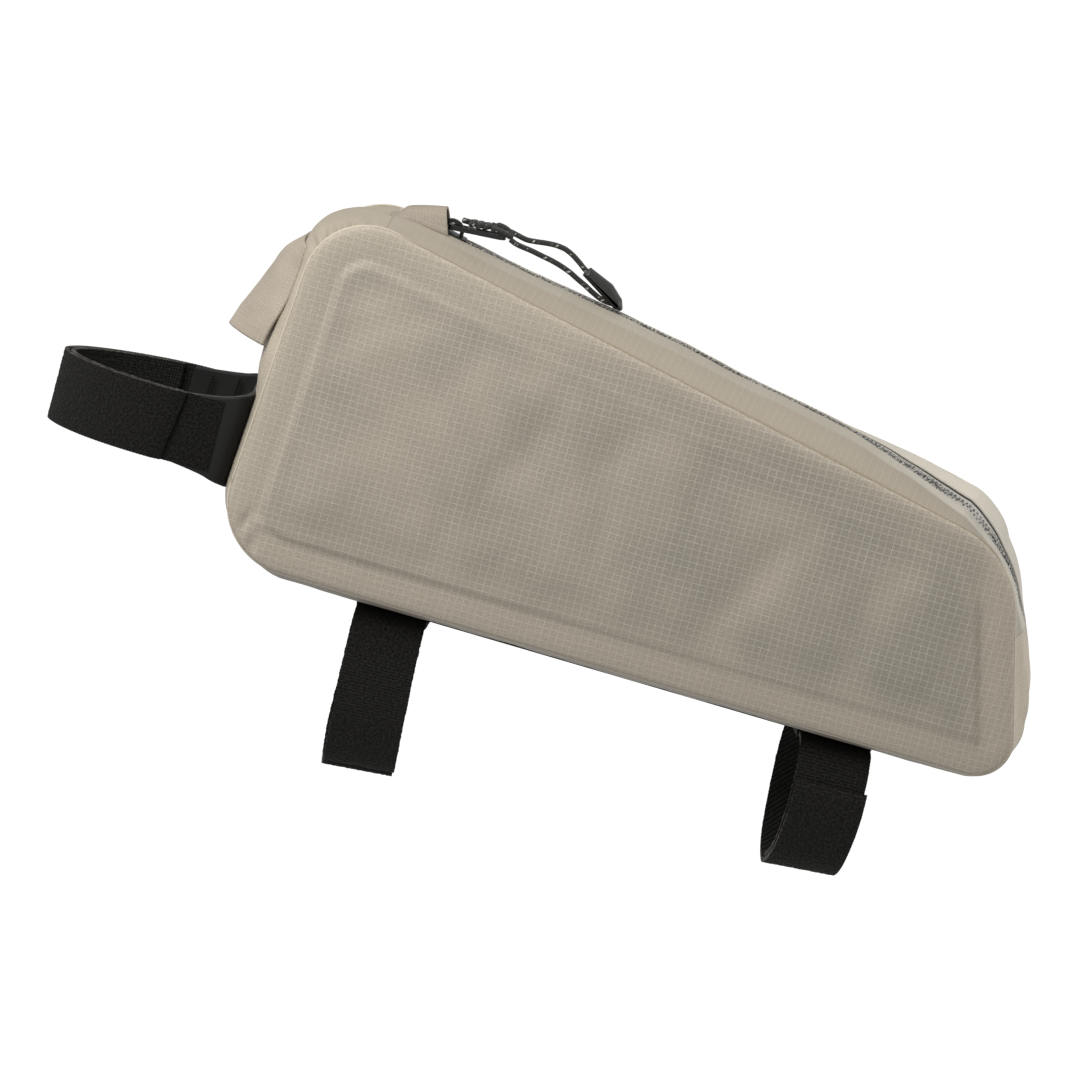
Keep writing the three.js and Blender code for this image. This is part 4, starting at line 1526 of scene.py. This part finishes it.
# %% Tie the knot
KNOT_RADIUS = 0.85
KNOT_FROM, KNOT_TO, KNOT_TURNS = -69.8, -63.4, 3.25
KNOT_STEPS = 34
TAB_TOP, TAB_SLOPE, TAB_X = 113.8, 0.0628, -75.6  # the height of the tab's upper face at its start
TAIL = ((-72.6, 0.5, 115.7),)
BAR_LOOP = (
    (-61.8, 0.3, 117.0),
    (-60.2, 0.1, 116.9),
    (-58.8, 0.0, 116.4),
    (-57.8, -0.2, 115.6),
    (-57.7, -0.6, 114.9),
    (-58.6, -1.0, 115.2),
    (-60.2, -1.2, 115.6),
    (-62.0, -1.2, 115.8),
    (-63.8, -0.9, 115.9),
)


def knot_turns():
    """A flat coil that lies on the tab."""
    turns = []
    for i in range(KNOT_STEPS + 1):
        x = KNOT_FROM + (KNOT_TO - KNOT_FROM) * i / KNOT_STEPS
        angle = 2 * math.pi * KNOT_TURNS * i / KNOT_STEPS
        low = TAB_TOP + TAB_SLOPE * (x - TAB_X) + KNOT_RADIUS + 0.1
        aside = 1.1 * math.sin(angle)  # each turn leans over the next
        turns.append((x + aside, 1.3 * math.cos(angle), low + 0.5 + 0.5 * math.sin(angle)))
    return turns


knot_line = smooth_line([*TAIL, *knot_turns(), *BAR_LOOP], steps=6)
print("cord in the knot", round(Walk(knot_line).length, 1), "mm")
knot = piece(tube(knot_line, lambda u: KNOT_RADIUS, 12), "tied_knot", [CORD], "cord", "cord_knot")

# %% [markdown]
# The cord end is a moulded wedge that pinches both strands. It is extruded from its side outline and
# every edge is bevelled, so that its facets catch the light.

# %% Mould the cord end
CORD_END = (
    (-34.8, 109.8),
    (-34.5, 110.8),
    (-33.2, 112.2),
    (-25.8, 109.1),
    (-22.1, 105.6),
    (-21.2, 103.0),
    (-21.8, 102.6),
    (-23.8, 102.9),
    (-25.6, 104.0),
)
CORD_END_HALF = 2.6


def moulded():
    finish = Finish("cord_end_plastic", Specular_IOR_Level=0.5)
    place = finish.node("ShaderNodeTexCoord", None, None, "Object")
    grain = finish.spots(place, 1.2 * MM, 3.0)
    base = finish.mix(grain, (0.008, 0.0078, 0.007), (0.018, 0.0175, 0.0155))
    return finish.done(Base_Color=base, Roughness=0.35 + 0.25 * grain, Normal=finish.bumped(grain, 0.04))


def chamfer(bm, edges, width):
    width *= MM
    bmesh.ops.bevel(bm, geom=edges, offset=width, affect="EDGES", segments=1, profile=0.5, material=-1)


def cord_end():
    bm = bmesh.new()
    corners = [bm.verts.new(Vector((x, -CORD_END_HALF, z)) * MM) for x, z in CORD_END]
    side = bm.faces.new(corners)
    grown = bmesh.ops.extrude_face_region(bm, geom=[side])["geom"]
    moved = [item for item in grown if isinstance(item, bmesh.types.BMVert)]
    bmesh.ops.translate(bm, verts=moved, vec=(0, 2 * CORD_END_HALF * MM, 0))
    bmesh.ops.recalc_face_normals(bm, faces=bm.faces)
    rims = [e for e in bm.edges if abs(e.verts[0].co.y - e.verts[1].co.y) < 1e-6]
    chamfer(bm, rims, 1.0)
    chamfer(bm, bm.edges[:], 0.15)
    made = piece(bm, "cord_end_wedge", [moulded()], "cord_end", "cord_end")
    made.data.shade_flat()
    return made


end_piece = cord_end()

# %% [markdown]
# The first point, the length and the points of each strand are worked out in metres.


def declare(line):
    line[0] * MM
    Walk(line).length * MM
    [point * MM for point in line]


declare(lower_line)
declare(upper_line)

# %% [markdown]
# ## Slider
# The slider and its tab keep their CAD solids, whose shapes are right. Their meshes are loose
# triangles, so a Weld modifier joins them first and a Bevel then softens their edges.

# %% Finish the slider


def black_metal():
    finish = Finish("black_metal", Metallic=0.0, Specular_IOR_Level=0.4)
    place = finish.node("ShaderNodeTexCoord", None, None, "Object")
    wear = finish.spots(place, 1.5 * MM, 3.0)
    base = finish.mix(wear, (0.0025, 0.0025, 0.0024), (0.007, 0.0068, 0.0064))
    return finish.done(Base_Color=base, Roughness=0.24 + 0.2 * wear)


BLACK_METAL = black_metal()
for node in ("zip_slider", "pull_tab"):
    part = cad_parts[node]
    part.data.materials.clear()
    part.data.materials.append(BLACK_METAL)
    part.modifiers.new("weld", "WELD").merge_threshold = 0.005 * MM
    soften = part.modifiers.new("soft_edges", "BEVEL")
    soften.width = 0.22 * MM
    soften.segments = 2
    soften.limit_method = "ANGLE"

# %% [markdown]
# ## Seams
# Each panel is sewn to the band with its edge turned in. What shows is a thin round bead: pale where
# the cloth rolls over the seam at the rear and the base, and a fine golden thread line along the top.

# %% Sew the seams


def seam_finish():
    finish = Finish("seam_bead", Roughness=0.6)
    flat, u, v = finish.cloth_map()
    top = u.fade(run_of(1.9), run_of(2.05)) * u.fade(run_of(3.6), run_of(3.4))
    threads = finish.spots(flat, 1.2, 2.0)
    pale = finish.mix(threads, (0.42, 0.364, 0.285), (0.52, 0.458, 0.362))
    gold = finish.mix(threads, (0.225, 0.178, 0.117), (0.32, 0.262, 0.184))
    return finish.done(Base_Color=finish.mix(top, pale, gold))


SEAM = seam_finish()
SEAM_STEPS = 620


def round_seam(part):
    """The place at that part of the way round, just short of a whole turn at most."""
    return place_of(sum(LENGTHS) * part * 0.99999)


def seam_bead(sign, name):
    line = []
    for i in range(SEAM_STEPS + 1):
        point = edge(round_seam(i / SEAM_STEPS))[0]
        line.append(Vector((point.x, sign * (SEAM_HALF + 0.2), point.y)))

    def radius(u):
        place = round_seam(u)
        return 0.45 - 0.15 * fade(place, 1.5, 1.9) * fade(place, 3.7, 3.4)

    return piece(tube(line, radius, 8), name, [SEAM], "ripstop")


seam_bead(-1, "near_seam")
seam_bead(1, "far_seam")
